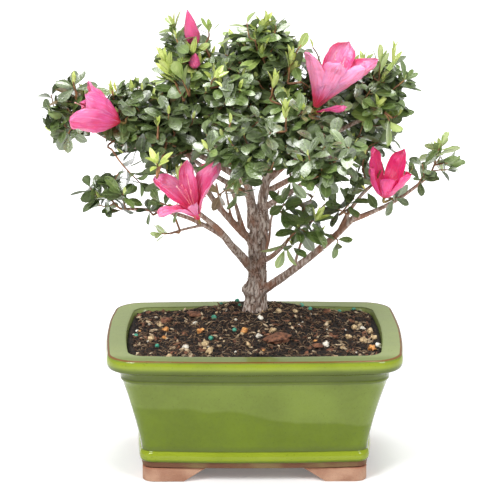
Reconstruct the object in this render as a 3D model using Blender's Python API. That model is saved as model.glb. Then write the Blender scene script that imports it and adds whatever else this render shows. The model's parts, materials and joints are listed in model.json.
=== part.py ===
"""Azalea bonsai in a glazed rectangular pot: pot, feet, soil, trunk, boughs and masses of foliage.

Metres, +Z up. The origin is on the ground under the middle of the pot, whose front faces -Y.
"""

import math
import random
from dataclasses import dataclass

import bmesh
import bpy
import numpy as np
from mathutils import Vector, noise

UP = Vector((0.0, 0.0, 1.0))
GAP = 0.0003
SLANT_GAP = 1.25 * GAP

# Pot: outer half sizes at the rim, and heights
POT_HALF_LENGTH = 0.1039
POT_HALF_DEPTH = 0.0762
POT_BOW = 0.0028
RIM_HEIGHT = 0.0966
RIM_CORNER = 0.0216
FOOT_HEIGHT = 0.0105
SLAB_TOP = 0.0148
BEAD_TOP = 0.0226
BEAD_PROUD = 0.0018
BASE_INSET = 0.0240
BASE_CORNER = 0.0085
LEDGE_HEIGHT = 0.0775
LEDGE_INSET = 0.0102
LEDGE_PROUD = 0.0009
LEDGE_THICKNESS = 0.0018
GROOVE = 0.0006
LIP_FOOT = 0.0868
LIP_INSET = 0.0018
BODY_FLARE = 1.25
RIM_WIDTH = 0.0146
WALL = 0.0068
FLOOR_HEIGHT = 0.0180
DRAIN_RADIUS = 0.0075
DRAIN_SPACING = 0.078
RIM_INNER_ROUND = 0.0014
INNER_RIM_CORNER = 0.0125
INNER_FLOOR_CORNER = 0.0050
INNER_STEP = 0.020

# Feet: each is an L under one corner, its ends slanted
FOOT_THICKNESS = 0.0130
FOOT_LONG_TOP = 0.0455
FOOT_LONG_BOTTOM = 0.0295
FOOT_SHORT_TOP = 0.0335
FOOT_SHORT_BOTTOM = 0.0235
FOOT_TUCK = 0.0008

# Soil
SOIL_EDGE_HEIGHT = 0.0932
GROUND_HEIGHT = 0.1026
GROUND_PATCH = 0.0125
MOUND_SPREAD = 0.034
SOIL_RIPPLE = 0.0011
SOIL_GRAIN = 0.011

# Trunk
TRUNK_FOOT = Vector((0.0008, 0.0350, GROUND_HEIGHT))
TRUNK_FORK = Vector((0.0046, 0.0310, 0.1725))
TRUNK_SIDES = 12
TRUNK_RINGS = 12
TRUNK_RADIUS = 0.0071
FORK_RADIUS = 0.0064
FLARE = 0.0030
FLARE_HEIGHT = 0.0050
FLARE_LOBES = 5
KNOB_PROUD = 0.0034
KNOB_HEIGHT = 0.0150
KNOB_SPREAD = 0.0045

# Boughs
STOUT_RADIUS = 0.0030
STOUT_SIDES = 8
SLIM_SIDES = 5
BOUGH_STEP = 0.011
COLLAR = 0.25
COLLAR_LENGTH = 0.006
WOBBLE = 0.0006
WOBBLE_LENGTH = 0.007

# Flowers
PETAL_THICKNESS = 0.0008
LOBES = 5
LOBE_WIDEN = 0.22
LOBE_RISE = 0.10

# Foliage
TWIG_SIDES = 3
TWIG_RADIUS = 0.0012
TWIG_END_RADIUS = 0.0009
TWIG_SUNK = 0.0003
TWIG_STEP = 0.0025
LEAF_LENGTH = 0.0250
LEAF_WIDTH = 0.56
LEAF_THICKNESS = 0.0009
LEAF_SUNK = 0.0004
YOUNG_SUNK = 0.0016
STEM_REACH = 0.85
STEM_BEND = 0.4
SHOOT_OUT = (0.60, 0.74)
SHOOT_PULLS = (1.0, 0.8, 1.2, 0.6, 0.35)
SHOOT_SPACING = 0.006
YOUNG_LEAN = (10, 22)
YOUNG_CUT = 0.75
LEAF_LEAN = (52, 80)
LEAF_LIFT = 0.18
LEAF_CUTS = (1.0, 0.85, 0.7)
LEAF_TWISTS = (0.0, 0.5, -0.5, 1.0)
LEAF_STEP = 0.0022
LEAF_SPACING = 0.0021
LEAVES_A_SHOOT = 4
SHOOTS_A_MASS = 7
GOLDEN_TURN = math.pi * (3 - math.sqrt(5))
SPARE_TO_LIMB = 0.0022
SPARE_TO_MASS = 0.0004

BARK = (0.23, 0.16, 0.11)
LEAF_GREEN = (0.09, 0.19, 0.05)


@dataclass(frozen=True)
class Bough:
    """A limb: its parent, how far along that it leaves, where it ends, and its taper and bends."""

    name: str
    parent: str
    leaves_at: float
    tip: tuple
    base_radius: float
    tip_radius: float
    arch: float = 0.0
    swing: float = 0.0
    shift: float = 0.0
    beside: tuple = ()


@dataclass(frozen=True)
class Mass:
    """A mass of foliage: the bough that carries it, its middle and its reach along each axis."""

    name: str
    bough: str
    centre: tuple
    reach: tuple
    shoots: int = SHOOTS_A_MASS


@dataclass(frozen=True)
class Bloom:
    """A flower of one mass: the middle of its foot and of its mouth, and the mouth's radius."""

    mass: str
    foot: tuple
    mouth: tuple
    radius: float
    opened: bool = True


BOUGHS = (
    Bough("leader_right", "trunk", 0.90, (0.0150, 0.0200, 0.2600), 0.0046, 0.0017, 0.0, 0.003, 0.0036),
    Bough("leader_left", "trunk", 0.91, (-0.0150, 0.0080, 0.2500), 0.0042, 0.0016, 0.0, -0.002, -0.0040,
          ("leader_right",)),
    Bough("bough_right_low", "trunk", 0.16, (0.0740, -0.0020, 0.1840), 0.0036, 0.0021, -0.003, 0.002),
    Bough("bough_right_tip", "bough_right_low", 0.93, (0.1190, -0.0060, 0.2080), 0.0019, 0.0012, -0.003),
    Bough("bough_right_mid", "bough_right_low", 0.80, (0.0820, -0.0120, 0.2060), 0.0017, 0.0012, 0.003),
    Bough("bough_centre_low", "trunk", 0.52, (0.0240, -0.0010, 0.1640), 0.0025, 0.0013, -0.003),
    Bough("bough_left_low", "trunk", 0.40, (-0.0440, -0.0300, 0.1950), 0.0041, 0.0015, 0.002, 0.002),
    Bough("bough_left_far", "bough_left_low", 0.52, (-0.0880, -0.0120, 0.1900), 0.0019, 0.0012, 0.006),
    Bough("bough_left_mid", "trunk", 0.70, (-0.0480, 0.0000, 0.2300), 0.0032, 0.0014, -0.006),
    Bough("bough_left_high", "leader_left", 0.42, (-0.0820, 0.0060, 0.2400), 0.0026, 0.0016, 0.004),
    Bough("bough_left_tip", "bough_left_high", 0.72, (-0.1150, 0.0060, 0.2440), 0.0017, 0.0012, -0.007),
    Bough("bough_top_left", "leader_left", 0.62, (-0.0400, 0.0100, 0.2660), 0.0022, 0.0013, 0.001),
    Bough("bough_front", "leader_left", 0.22, (-0.0090, -0.0480, 0.2310), 0.0024, 0.0013, -0.003),
    Bough("bough_centre", "leader_right", 0.56, (0.0230, -0.0080, 0.2440), 0.0018, 0.0012),
    Bough("bough_right_front", "leader_right", 0.15, (0.042, -0.040, 0.224), 0.0026, 0.0013, -0.002, 0.002),
    Bough("bough_right_high", "leader_right", 0.38, (0.0760, 0.0080, 0.2500), 0.0025, 0.0014, 0.003),
    Bough("bough_top_right", "leader_right", 0.74, (0.0420, 0.0060, 0.2620), 0.0021, 0.0013, 0.001),
    Bough("bough_back_left", "leader_left", 0.30, (-0.0600, 0.0600, 0.2220), 0.0024, 0.0013, -0.002),
    Bough("bough_back", "leader_right", 0.50, (0.0020, 0.0640, 0.2280), 0.0022, 0.0013, -0.002),
    Bough("bough_back_right", "leader_right", 0.28, (0.0600, 0.0600, 0.2180), 0.0024, 0.0013, -0.002),
    Bough("bough_back_top", "leader_right", 0.86, (0.0060, 0.0440, 0.2700), 0.0014, 0.0011, 0.0),
)

MASSES = (
    Mass("foliage_left_tip", "bough_left_tip", (-0.1290, 0.0040, 0.2560), (0.0242, 0.0330, 0.0290)),
    Mass("foliage_left_upper", "bough_left_high", (-0.0930, -0.0040, 0.2560), (0.0260, 0.0340, 0.0290)),
    Mass("foliage_left_mid", "bough_left_mid", (-0.0580, -0.0100, 0.2480), (0.0290, 0.0370, 0.0290)),
    Mass("foliage_left_low", "bough_left_far", (-0.1050, -0.0160, 0.2010), (0.0270, 0.0260, 0.0190), 8),
    Mass("foliage_left_front", "bough_left_low", (-0.0540, -0.0430, 0.2170), (0.0285, 0.0380, 0.0290), 12),
    Mass("foliage_top_left", "bough_top_left", (-0.0470, 0.0080, 0.2900), (0.0250, 0.0330, 0.0370)),
    Mass("foliage_centre", "leader_left", (-0.0190, -0.0060, 0.2720), (0.0270, 0.0350, 0.0300)),
    Mass("foliage_top", "leader_right", (0.0060, 0.0140, 0.2950), (0.0310, 0.0340, 0.0310)),
    Mass("foliage_top_right", "bough_top_right", (0.0500, 0.0040, 0.2780), (0.0290, 0.0350, 0.0300), 9),
    Mass("foliage_right_upper", "bough_right_high", (0.0880, 0.0060, 0.2690), (0.0270, 0.0350, 0.0330)),
    Mass("foliage_right_centre", "bough_centre", (0.0260, -0.0220, 0.2550), (0.0290, 0.0350, 0.0290)),
    Mass("foliage_front", "bough_front", (-0.0100, -0.0660, 0.2450), (0.0340, 0.0440, 0.0300)),
    Mass("foliage_right_front", "bough_right_front", (0.0460, -0.0570, 0.2370), (0.0310, 0.0440, 0.0260)),
    Mass("foliage_right_mid", "bough_right_mid", (0.0900, -0.0180, 0.2210), (0.0275, 0.0330, 0.0290), 10),
    Mass("foliage_right_tip", "bough_right_tip", (0.1320, -0.0060, 0.2240), (0.0235, 0.0240, 0.0190), 6),
    Mass("foliage_right_low", "bough_centre_low", (0.0350, -0.0140, 0.1800), (0.0250, 0.0260, 0.0270)),
    Mass("foliage_back_left", "bough_back_left", (-0.0720, 0.0640, 0.2360), (0.0420, 0.0460, 0.0350)),
    Mass("foliage_back", "bough_back", (0.0000, 0.0700, 0.2400), (0.0380, 0.0400, 0.0350)),
    Mass("foliage_back_right", "bough_back_right", (0.0700, 0.0640, 0.2360), (0.0420, 0.0460, 0.0350)),
    Mass("foliage_back_top", "bough_back_top", (0.0040, 0.0540, 0.2840), (0.0360, 0.0340, 0.0280)),
)

BLOOMS = (
    Bloom("foliage_left_upper", (-0.0940, -0.0160, 0.2510), (-0.1160, -0.0330, 0.2690), 0.0215),
    Bloom("foliage_top_left", (-0.0420, 0.0030, 0.3050), (-0.0450, 0.0000, 0.3280), 0.0075, False),
    Bloom("foliage_top_left", (-0.0420, -0.0080, 0.2900), (-0.0410, -0.0140, 0.3040), 0.0055, False),
    Bloom("foliage_top_right", (0.0460, -0.0080, 0.2620), (0.0610, -0.0270, 0.2900), 0.0280),
    Bloom("foliage_left_front", (-0.0430, -0.0480, 0.1910), (-0.0490, -0.0620, 0.2170), 0.0240),
    Bloom("foliage_right_mid", (0.0890, -0.0190, 0.2020), (0.0940, -0.0340, 0.2240), 0.0170),
)


def finish(obj, colour, roughness, metallic=0.0):
    """Give an object its own Principled material."""
    material = bpy.data.materials.new(obj.name)
    material.use_nodes = True
    shader = material.node_tree.nodes["Principled BSDF"]
    shader.inputs["Base Color"].default_value = (*colour, 1.0)
    shader.inputs["Roughness"].default_value = roughness
    shader.inputs["Metallic"].default_value = metallic
    material.diffuse_color = (*colour, 1.0)
    obj.data.materials.clear()
    obj.data.materials.append(material)


def add_object(name, bm, sharp_degrees=40.0):
    """Turn a bmesh into an object of the scene, its round stretches shaded smooth."""
    bmesh.ops.recalc_face_normals(bm, faces=bm.faces)
    mesh = bpy.data.meshes.new(name)
    bm.to_mesh(mesh)
    bm.free()
    mesh.shade_smooth()
    mesh.set_sharp_from_angle(angle=math.radians(sharp_degrees))
    obj = bpy.data.objects.new(name, mesh)
    bpy.context.scene.collection.objects.link(obj)
    return obj


def loft(rings):
    """A closed bmesh through rings of equal count, capped flat at both ends."""
    bm = bmesh.new()
    loops = [[bm.verts.new(point) for point in ring] for ring in rings]
    count = len(rings[0])
    for low, high in zip(loops, loops[1:]):
        for i in range(count):
            j = (i + 1) % count
            bm.faces.new((low[i], low[j], high[j], high[i]))
    bm.faces.new(loops[0][::-1])
    bm.faces.new(loops[-1])
    return bm


def apply_boolean(obj, operation, cutter=None, pieces=None):
    """Cut an object by another, or join it with a collection, and apply the result."""
    modifier = obj.modifiers.new(operation.lower(), "BOOLEAN")
    modifier.operation = operation
    modifier.solver = "EXACT"
    if pieces is None:
        modifier.object = cutter
    else:
        modifier.operand_type = "COLLECTION"
        modifier.collection = pieces
    graph = bpy.context.evaluated_depsgraph_get()
    result = bpy.data.meshes.new_from_object(obj.evaluated_get(graph))
    obj.modifiers.clear()
    obj.data = result


def keep_main_body(obj):
    """Drop loose scraps and the skins of sealed hollows, leaving the largest body."""
    bm = bmesh.new()
    bm.from_mesh(obj.data)
    bmesh.ops.triangulate(bm, faces=bm.faces)
    waiting = set(bm.faces)
    bodies = []
    while waiting:
        stack = [waiting.pop()]
        body = list(stack)
        while stack:
            face = stack.pop()
            for edge in face.edges:
                for other in edge.link_faces:
                    if other in waiting:
                        waiting.remove(other)
                        stack.append(other)
                        body.append(other)
        volume = sum(
            f.verts[0].co.dot((f.verts[1].co).cross(f.verts[2].co)) for f in body
        )
        bodies.append((volume, body))
    bodies.sort(key=lambda entry: entry[0])
    for _, body in bodies[:-1]:
        bmesh.ops.delete(bm, geom=body, context="FACES")
    bm.to_mesh(obj.data)
    bm.free()


def arc(centre, radii, start, end, steps):
    """Points (inset, height) of an arc, its angles in degrees, both ends included."""
    angles = [math.radians(start + (end - start) * i / steps) for i in range(steps + 1)]
    return [(centre[0] + radii[0] * math.cos(a), centre[1] + radii[1] * math.sin(a)) for a in angles]


def pot_ring(inset, height, corner):
    """A rectangle with round corners and slightly bowed sides, set in from the rim's outline."""
    half_length = POT_HALF_LENGTH - inset
    half_depth = POT_HALF_DEPTH - inset
    corner_steps, long_steps, short_steps = 4, 4, 2
    points = []
    for quarter in range(4):
        sign_x, sign_y = ((1, -1), (1, 1), (-1, 1), (-1, -1))[quarter]
        hub = (sign_x * (half_length - corner), sign_y * (half_depth - corner))
        for i in range(corner_steps + 1):
            angle = math.radians(90 * (quarter - 1) + 90 * i / corner_steps)
            points.append((hub[0] + corner * math.cos(angle), hub[1] + corner * math.sin(angle), height))
        along_depth = quarter % 2 == 0
        steps = short_steps if along_depth else long_steps
        reach = (half_depth if along_depth else half_length) - corner
        for i in range(1, steps):
            part = 2 * i / steps - 1
            bow = POT_BOW * (1 - part * part)
            if along_depth:
                points.append((sign_x * (half_length + bow), part * reach * sign_x, height))
            else:
                points.append((-part * reach * sign_y, sign_y * (half_depth + bow), height))
    return [Vector(point) for point in points]


def inner_inset(height):
    """How far the inner wall stands in from the rim's outline."""
    part = (RIM_HEIGHT - height) / (RIM_HEIGHT - FLOOR_HEIGHT)
    return RIM_WIDTH + (BASE_INSET + WALL - RIM_WIDTH) * part


def inner_corner(height):
    """The inner wall's corner radius."""
    part = (RIM_HEIGHT - height) / (RIM_HEIGHT - FLOOR_HEIGHT)
    return INNER_RIM_CORNER + (INNER_FLOOR_CORNER - INNER_RIM_CORNER) * part


def outer_corner(inset):
    """The outer wall's corner radius, which shrinks as the wall tapers in."""
    return BASE_CORNER + (RIM_CORNER - BASE_CORNER) * (1 - inset / BASE_INSET)


def pot_outline():
    """The pot's outer profile as (inset, height), from the underside to the rim."""
    body_height = LEDGE_HEIGHT - BEAD_TOP
    bead_height = BEAD_TOP - SLAB_TOP
    outline = [(BASE_INSET, FOOT_HEIGHT), (BASE_INSET, SLAB_TOP)]
    middle = (BASE_INSET, SLAB_TOP + bead_height / 2)
    outline += arc(middle, (-BEAD_PROUD, bead_height / 2), -60, 60, 2)
    for i in range(3):
        part = i / 2
        inset = BASE_INSET - (BASE_INSET - LEDGE_INSET) * part**BODY_FLARE
        outline.append((inset, BEAD_TOP + GROOVE + (body_height - 2 * GROOVE) * part))
    outline.append((LEDGE_INSET - LEDGE_PROUD, LEDGE_HEIGHT))
    outline.append((LEDGE_INSET - LEDGE_PROUD, LEDGE_HEIGHT + LEDGE_THICKNESS))
    cove = LEDGE_INSET - LEDGE_PROUD - LIP_INSET
    cove_foot = LEDGE_HEIGHT + LEDGE_THICKNESS + GROOVE
    outline += arc((LIP_INSET, cove_foot), (cove, LIP_FOOT - cove_foot), 15, 75, 2)
    lip_height = RIM_HEIGHT - LIP_FOOT
    outline += arc((LIP_INSET, LIP_FOOT + lip_height / 2), (-LIP_INSET, lip_height / 2), -60, 75, 3)
    return outline


def make_pot():
    """The glazed pot: an open tray with a rolled lip, a cove, a ledge and a bead round its base."""
    rings = [pot_ring(inset, height, outer_corner(inset)) for inset, height in pot_outline()]
    rings.append(pot_ring(RIM_WIDTH - RIM_INNER_ROUND, RIM_HEIGHT, inner_corner(RIM_HEIGHT)))
    for height in (RIM_HEIGHT - RIM_INNER_ROUND, RIM_HEIGHT - INNER_STEP, FLOOR_HEIGHT):
        rings.append(pot_ring(inner_inset(height), height, inner_corner(height)))
    pot = add_object("pot", loft(rings))
    for side in (-1, 1):
        bpy.ops.mesh.primitive_cylinder_add(
            vertices=12,
            radius=DRAIN_RADIUS,
            depth=4 * (FLOOR_HEIGHT - FOOT_HEIGHT),
            location=(side * DRAIN_SPACING / 2, 0.0, FLOOR_HEIGHT),
        )
        drill = bpy.context.object
        apply_boolean(pot, "DIFFERENCE", drill)
        bpy.data.objects.remove(drill)
    finish(pot, (0.22, 0.29, 0.03), 0.12)


def foot_outline(length, depth, tuck, height):
    """One L of a foot in plan, from its rounded outer corner, in the quarter of +X and +Y."""
    corner_x = POT_HALF_LENGTH - BASE_INSET - tuck
    corner_y = POT_HALF_DEPTH - BASE_INSET - tuck
    round_radius = BASE_CORNER - tuck
    inner_x = corner_x - FOOT_THICKNESS
    inner_y = corner_y - FOOT_THICKNESS
    hub = (corner_x - round_radius, corner_y - round_radius)
    points = []
    for i in range(5):
        angle = math.radians(90 * i / 4)
        points.append((hub[0] + round_radius * math.cos(angle), hub[1] + round_radius * math.sin(angle)))
    points += [(corner_x - length, corner_y), (corner_x - length, inner_y), (inner_x, inner_y)]
    points += [(inner_x, corner_y - depth), (corner_x, corner_y - depth)]
    return [Vector((x, y, height)) for x, y in points]


def make_feet():
    """Four bracket feet under the corners of the base."""
    low = foot_outline(FOOT_LONG_BOTTOM, FOOT_SHORT_BOTTOM, FOOT_TUCK, 0.0)
    high = foot_outline(FOOT_LONG_TOP, FOOT_SHORT_TOP, 0.0, FOOT_HEIGHT - GAP)
    for side, sign_x in (("left", -1), ("right", 1)):
        for end, sign_y in (("front", -1), ("back", 1)):
            rings = [[Vector((sign_x * p.x, sign_y * p.y, p.z)) for p in ring] for ring in (low, high)]
            foot = add_object(f"foot_{end}_{side}", loft(rings))
            finish(foot, (0.50, 0.24, 0.15), 0.85)


def soil_height(x, y):
    """The soil's surface: low at the walls, mounded round the trunk, and flat under it."""
    away = max(0.0, math.hypot(x - TRUNK_FOOT.x, y - TRUNK_FOOT.y) - GROUND_PATCH)
    mound = (GROUND_HEIGHT - GAP - SOIL_EDGE_HEIGHT) * math.exp(-((away / MOUND_SPREAD) ** 2))
    ripple = SOIL_RIPPLE * noise.noise(Vector((x, y, 0.0)) / SOIL_GRAIN) * min(1.0, away / 0.01)
    return SOIL_EDGE_HEIGHT + mound + ripple


def make_soil():
    """The soil, filling the pot clear of its walls and floor by the gap."""
    heights = (FLOOR_HEIGHT + GAP, RIM_HEIGHT - INNER_STEP, SOIL_EDGE_HEIGHT)
    rings = [pot_ring(inner_inset(z) + SLANT_GAP, z, inner_corner(z)) for z in heights]
    wall = rings[-1]
    patch = []
    for point in wall:
        towards = Vector((point.x - TRUNK_FOOT.x, point.y - TRUNK_FOOT.y, 0.0)).normalized()
        patch.append(TRUNK_FOOT + towards * GROUND_PATCH)
    for part in (0.3, 0.65):
        ring = [a.lerp(b, part) for a, b in zip(wall, patch)]
        rings.append([Vector((p.x, p.y, soil_height(p.x, p.y))) for p in ring])
    rings.append([Vector((p.x, p.y, GROUND_HEIGHT - GAP)) for p in patch])
    soil = add_object("soil", loft(rings), 80.0)
    finish(soil, (0.035, 0.022, 0.015), 0.95)


class Limb:
    """A tapering round limb along a path, which others leave and which foliage keeps clear of."""

    def __init__(self, centres, radii):
        self.centres = centres
        self.radii = radii

    def place(self, part):
        """The point this far along the path, and the radius there."""
        at = part * (len(self.centres) - 1)
        i = min(int(at), len(self.centres) - 2)
        rest = at - i
        centre = self.centres[i].lerp(self.centres[i + 1], rest)
        return centre, self.radii[i] * (1 - rest) + self.radii[i + 1] * rest

    def end_direction(self):
        """The way the limb points at its tip."""
        return (self.centres[-1] - self.centres[-2]).normalized()

    def clearance(self, point):
        """How far a point is from the limb's surface."""
        best = math.inf
        for i, (a, b) in enumerate(zip(self.centres, self.centres[1:])):
            along = b - a
            part = min(1.0, max(0.0, (point - a).dot(along) / along.length_squared))
            best = min(best, (point - a - along * part).length - self.radii[i])
        return best


def tube_rings(centres, radii, sides, swell=0.0, level=False, roll=0.0):
    """Rings of points round a path; a swollen tube also reaches past its ends."""
    centres = [centre.copy() for centre in centres]
    if swell:
        centres[-1] += (centres[-1] - centres[-2]).normalized() * swell
    normal = Vector((1.0, 0.0, 0.0))
    rings = []
    for i, centre in enumerate(centres):
        tangent = (centres[min(i + 1, len(centres) - 1)] - centres[max(i - 1, 0)]).normalized()
        if level:
            tangent = UP
        if abs(tangent.dot(normal)) > 0.9:
            normal = tangent.orthogonal()
        normal = (normal - tangent * normal.dot(tangent)).normalized()
        side = tangent.cross(normal)
        ring = []
        for k in range(sides):
            angle = roll + math.tau * k / sides
            radius = radii(i, angle) if callable(radii) else radii[i]
            ring.append(centre + (normal * math.cos(angle) + side * math.sin(angle)) * (radius + swell))
        rings.append(ring)
    return rings


def trunk_limb():
    """The trunk's path with its lean, and its radius without flare or knob."""
    centres, radii = [], []
    for i in range(TRUNK_RINGS + 1):
        part = i / TRUNK_RINGS
        centre = TRUNK_FOOT.lerp(TRUNK_FORK, part)
        centre.x += 0.0006 * math.sin(part * math.tau)
        centres.append(centre)
        radii.append(TRUNK_RADIUS + (FORK_RADIUS - TRUNK_RADIUS) * part)
    radii[-1] *= 0.8
    return Limb(centres, radii)


def trunk_radius(trunk):
    """The trunk's radius by ring and angle, with the root flare and the knob on its left side."""

    def radius(ring, angle):
        height = trunk.centres[ring].z - GROUND_HEIGHT
        flare = FLARE * math.exp(-height / FLARE_HEIGHT) * (0.75 + 0.25 * math.cos(FLARE_LOBES * angle))
        knob_part = math.exp(-(((height - KNOB_HEIGHT) / KNOB_SPREAD) ** 2))
        knob = KNOB_PROUD * knob_part * max(0.0, math.cos(angle - math.radians(190))) ** 2
        knuckle = 0.0003 * math.sin(3 * angle + height / 0.006)
        return trunk.radii[ring] + flare + knob + knuckle

    return radius


def bough_limb(bough, limbs):
    """The path and taper of a bough, from its parent's middle to its tip."""
    parent = limbs[bough.parent]
    start, _ = parent.place(bough.leaves_at)
    start = start + Vector((bough.shift, 0.0, 0.0))
    tip = Vector(bough.tip)
    length = (tip - start).length
    across = (tip - start).cross(UP).normalized()
    rise = across.cross(tip - start).normalized()
    steps = max(4, round(length / BOUGH_STEP))
    draw = random.Random(bough.name)
    phase = draw.uniform(0, math.tau)
    centres, radii = [], []
    for i in range(steps + 1):
        part = i / steps
        hump = math.sin(math.pi * part)
        centre = start.lerp(tip, part) + rise * (bough.arch * hump)
        centre += across * (bough.swing * math.sin(math.tau * part))
        centre += across * (WOBBLE * hump * math.sin(length * part / WOBBLE_LENGTH + phase))
        centres.append(centre)
        collar = COLLAR * bough.base_radius * math.exp(-length * part / COLLAR_LENGTH)
        radii.append(bough.base_radius + (bough.tip_radius - bough.base_radius) * part**0.8 + collar)
    return Limb(centres, radii)


def make_limbs():
    """The trunk and every bough, each cut clear of its parent; returns them by name."""
    trunk = trunk_limb()
    limbs = {"trunk": trunk}
    reach = {"trunk": trunk_radius(trunk)}
    rings = tube_rings(trunk.centres, reach["trunk"], TRUNK_SIDES, level=True)
    finish(add_object("trunk", loft(rings)), BARK, 0.85)
    for bough in BOUGHS:
        limb = bough_limb(bough, limbs)
        sides = STOUT_SIDES if bough.base_radius > STOUT_RADIUS else SLIM_SIDES
        obj = add_object(bough.name, loft(tube_rings(limb.centres, limb.radii, sides)))
        for name in (bough.parent, *bough.beside):
            other = limbs[name]
            radii = reach.get(name, other.radii)
            swollen = tube_rings(
                other.centres, radii, TRUNK_SIDES if name == "trunk" else STOUT_SIDES,
                swell=SLANT_GAP, level=name == "trunk",
            )
            cutter = add_object("cutter", loft(swollen))
            apply_boolean(obj, "DIFFERENCE", cutter)
            bpy.data.objects.remove(cutter)
        keep_main_body(obj)
        finish(obj, BARK, 0.85)
        limbs[bough.name] = limb
    return limbs


class FlowerRoom:
    """The cone that a flower fills, which leaves keep out of."""

    def __init__(self, bloom):
        self.foot = Vector(bloom.foot)
        self.axis = Vector(bloom.mouth) - self.foot
        self.radius = bloom.radius

    def clearance(self, point):
        """Roughly how far a point is outside the cone."""
        length = self.axis.length
        along = (point - self.foot).dot(self.axis) / length
        away = (point - self.foot - self.axis * (along / length)).length
        part = min(1.0, max(0.0, along / length))
        beyond = max(-along, along - 1.15 * length)
        return max(away - self.radius * (0.18 + 1.10 * part**0.8), beyond)


class Room:
    """The space that one mass keeps to: its reach, less what is nearer a neighbour, a limb or a flower."""

    def __init__(self, mass, limbs, flowers):
        self.centre = Vector(mass.centre)
        self.reach = Vector(mass.reach)
        self.weight = (sum(mass.reach) / 3) ** 2
        self.walls = []
        for other in MASSES:
            if other.name != mass.name:
                self.add_wall(other)
        span = max(mass.reach) + 0.012
        self.limbs = [
            limb for limb in limbs.values() if limb.clearance(self.centre) < span
        ]
        self.flowers = flowers

    def add_wall(self, other):
        """A flat wall towards a neighbour, where both reaches count the same."""
        across = Vector(other.centre) - self.centre
        weight = (sum(other.reach) / 3) ** 2
        part = 0.5 + (self.weight - weight) / (2 * across.length_squared)
        self.walls.append((self.centre + across * part, across.normalized()))

    def spread(self, point):
        """How far out a point is: 1 at the reach."""
        offset = point - self.centre
        return Vector(offset[i] / self.reach[i] for i in range(3)).length

    def holds(self, point, to_limb=SPARE_TO_LIMB, to_mass=SPARE_TO_MASS, to_flower=0.0008):
        """Whether a point is in the space with room to spare."""
        if self.spread(point) > 1:
            return False
        if any((point - foot).dot(normal) > -to_mass for foot, normal in self.walls):
            return False
        if any(flower.clearance(point) < to_flower for flower in self.flowers):
            return False
        return all(limb.clearance(point) > to_limb for limb in self.limbs)


@dataclass
class Twig:
    """A twig as points, thick at its root and thin at its end."""

    points: list
    root_radius: float
    end_radius: float

    def radii(self):
        """The radius at each point."""
        last = len(self.points) - 1
        return [self.root_radius + (self.end_radius - self.root_radius) * i / last for i in range(last + 1)]


def shoot_ends(room, count, draw):
    """Ends of the shoots, spread over the space along a spiral and pulled in until they fit."""
    turn = draw.uniform(0, math.tau)
    found = []
    for i in range(count):
        height = 1 - 2 * (i + 0.5) / count
        width = math.sqrt(1 - height * height)
        angle = turn + GOLDEN_TURN * i
        way = Vector((width * math.cos(angle), width * math.sin(angle), height))
        out = draw.uniform(*SHOOT_OUT)
        for pull in SHOOT_PULLS:
            offset = Vector(way[k] * room.reach[k] * out * pull for k in range(3))
            end = room.centre + offset
            if room.holds(end) and all((end - other).length > SHOOT_SPACING for other in found):
                found.append(end)
                break
    return found


def grow_twigs(room, bough, count, draw):
    """A stem that grows on from the bough's tip, and twigs that branch from it to the shoot ends."""
    start = bough.centres[-1] + bough.end_direction() * GAP
    heart = start.lerp(room.centre, STEM_REACH)
    bend = start + bough.end_direction() * ((heart - start).length * STEM_BEND)
    stem_radius = min(bough.radii[-1], 0.0013)
    twigs = [Twig([start, bend, heart], stem_radius, TWIG_RADIUS)]
    forks = [bend, bend.lerp(heart, 0.5), heart]
    shoots = []
    ends = shoot_ends(room, count, draw)
    ends.sort(key=lambda end: (end - start).length)
    for end in ends:
        root = min(forks, key=lambda fork: (end - fork).length + 0.4 * (fork - start).length)
        steps = max(3, round((end - root).length / TWIG_STEP))
        path = [root.lerp(end, i / steps) for i in range(1, steps)]
        if not all(room.holds(point, to_limb=TWIG_RADIUS + 2 * GAP) for point in path):
            continue
        way = (end - root).normalized()
        twigs.append(Twig([root - way * TWIG_SUNK, end], TWIG_RADIUS, TWIG_END_RADIUS))
        forks += [root.lerp(end, 0.35), root.lerp(end, 0.6)]
        shoots.append((end, way))
    return twigs, shoots


def leaf_points(root, along, across, length):
    """A leaf's six points: root, end, both edges, and the top and bottom of its blade."""
    width = LEAF_WIDTH * length / 2
    over = across.cross(along).normalized()
    middle = root + along * (0.58 * length)
    return (
        root,
        root + along * length - over * (0.06 * length),
        middle + across * width + over * (0.04 * length),
        middle - across * width + over * (0.04 * length),
        middle + over * (LEAF_THICKNESS / 2),
        middle - over * (LEAF_THICKNESS / 2 + 0.0003),
    )


LEAF_FACES = ((0, 2, 4), (2, 1, 4), (1, 3, 4), (3, 0, 4), (2, 0, 5), (1, 2, 5), (3, 1, 5), (0, 3, 5))


def leaf_samples(points):
    """Points over both halves of the blade, clear of its root."""
    root, end, left, right = points[:4]
    middle = (left + right) / 2
    samples = [end, left, right, middle, middle.lerp(end, 0.5), root.lerp(middle, 0.6)]
    samples += [left.lerp(end, 0.5), right.lerp(end, 0.5), left.lerp(root, 0.4), right.lerp(root, 0.4)]
    return samples


class Placed:
    """Points of the twigs and leaves placed so far, which a new leaf keeps clear of."""

    def __init__(self, twigs):
        self.points = []
        for twig in twigs:
            for a, b in zip(twig.points, twig.points[1:]):
                steps = max(2, round((b - a).length / 0.002))
                self.points += [tuple(a.lerp(b, i / steps)) for i in range(steps + 1)]

    def is_clear(self, samples):
        """Whether the samples keep their distance from all that is placed."""
        apart = np.array(samples)[:, None, :] - np.array(self.points)[None, :, :]
        return bool((apart**2).sum(axis=2).min() > LEAF_SPACING**2)

    def add(self, samples):
        """Note a leaf that has been placed."""
        self.points += [tuple(sample) for sample in samples]


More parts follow.
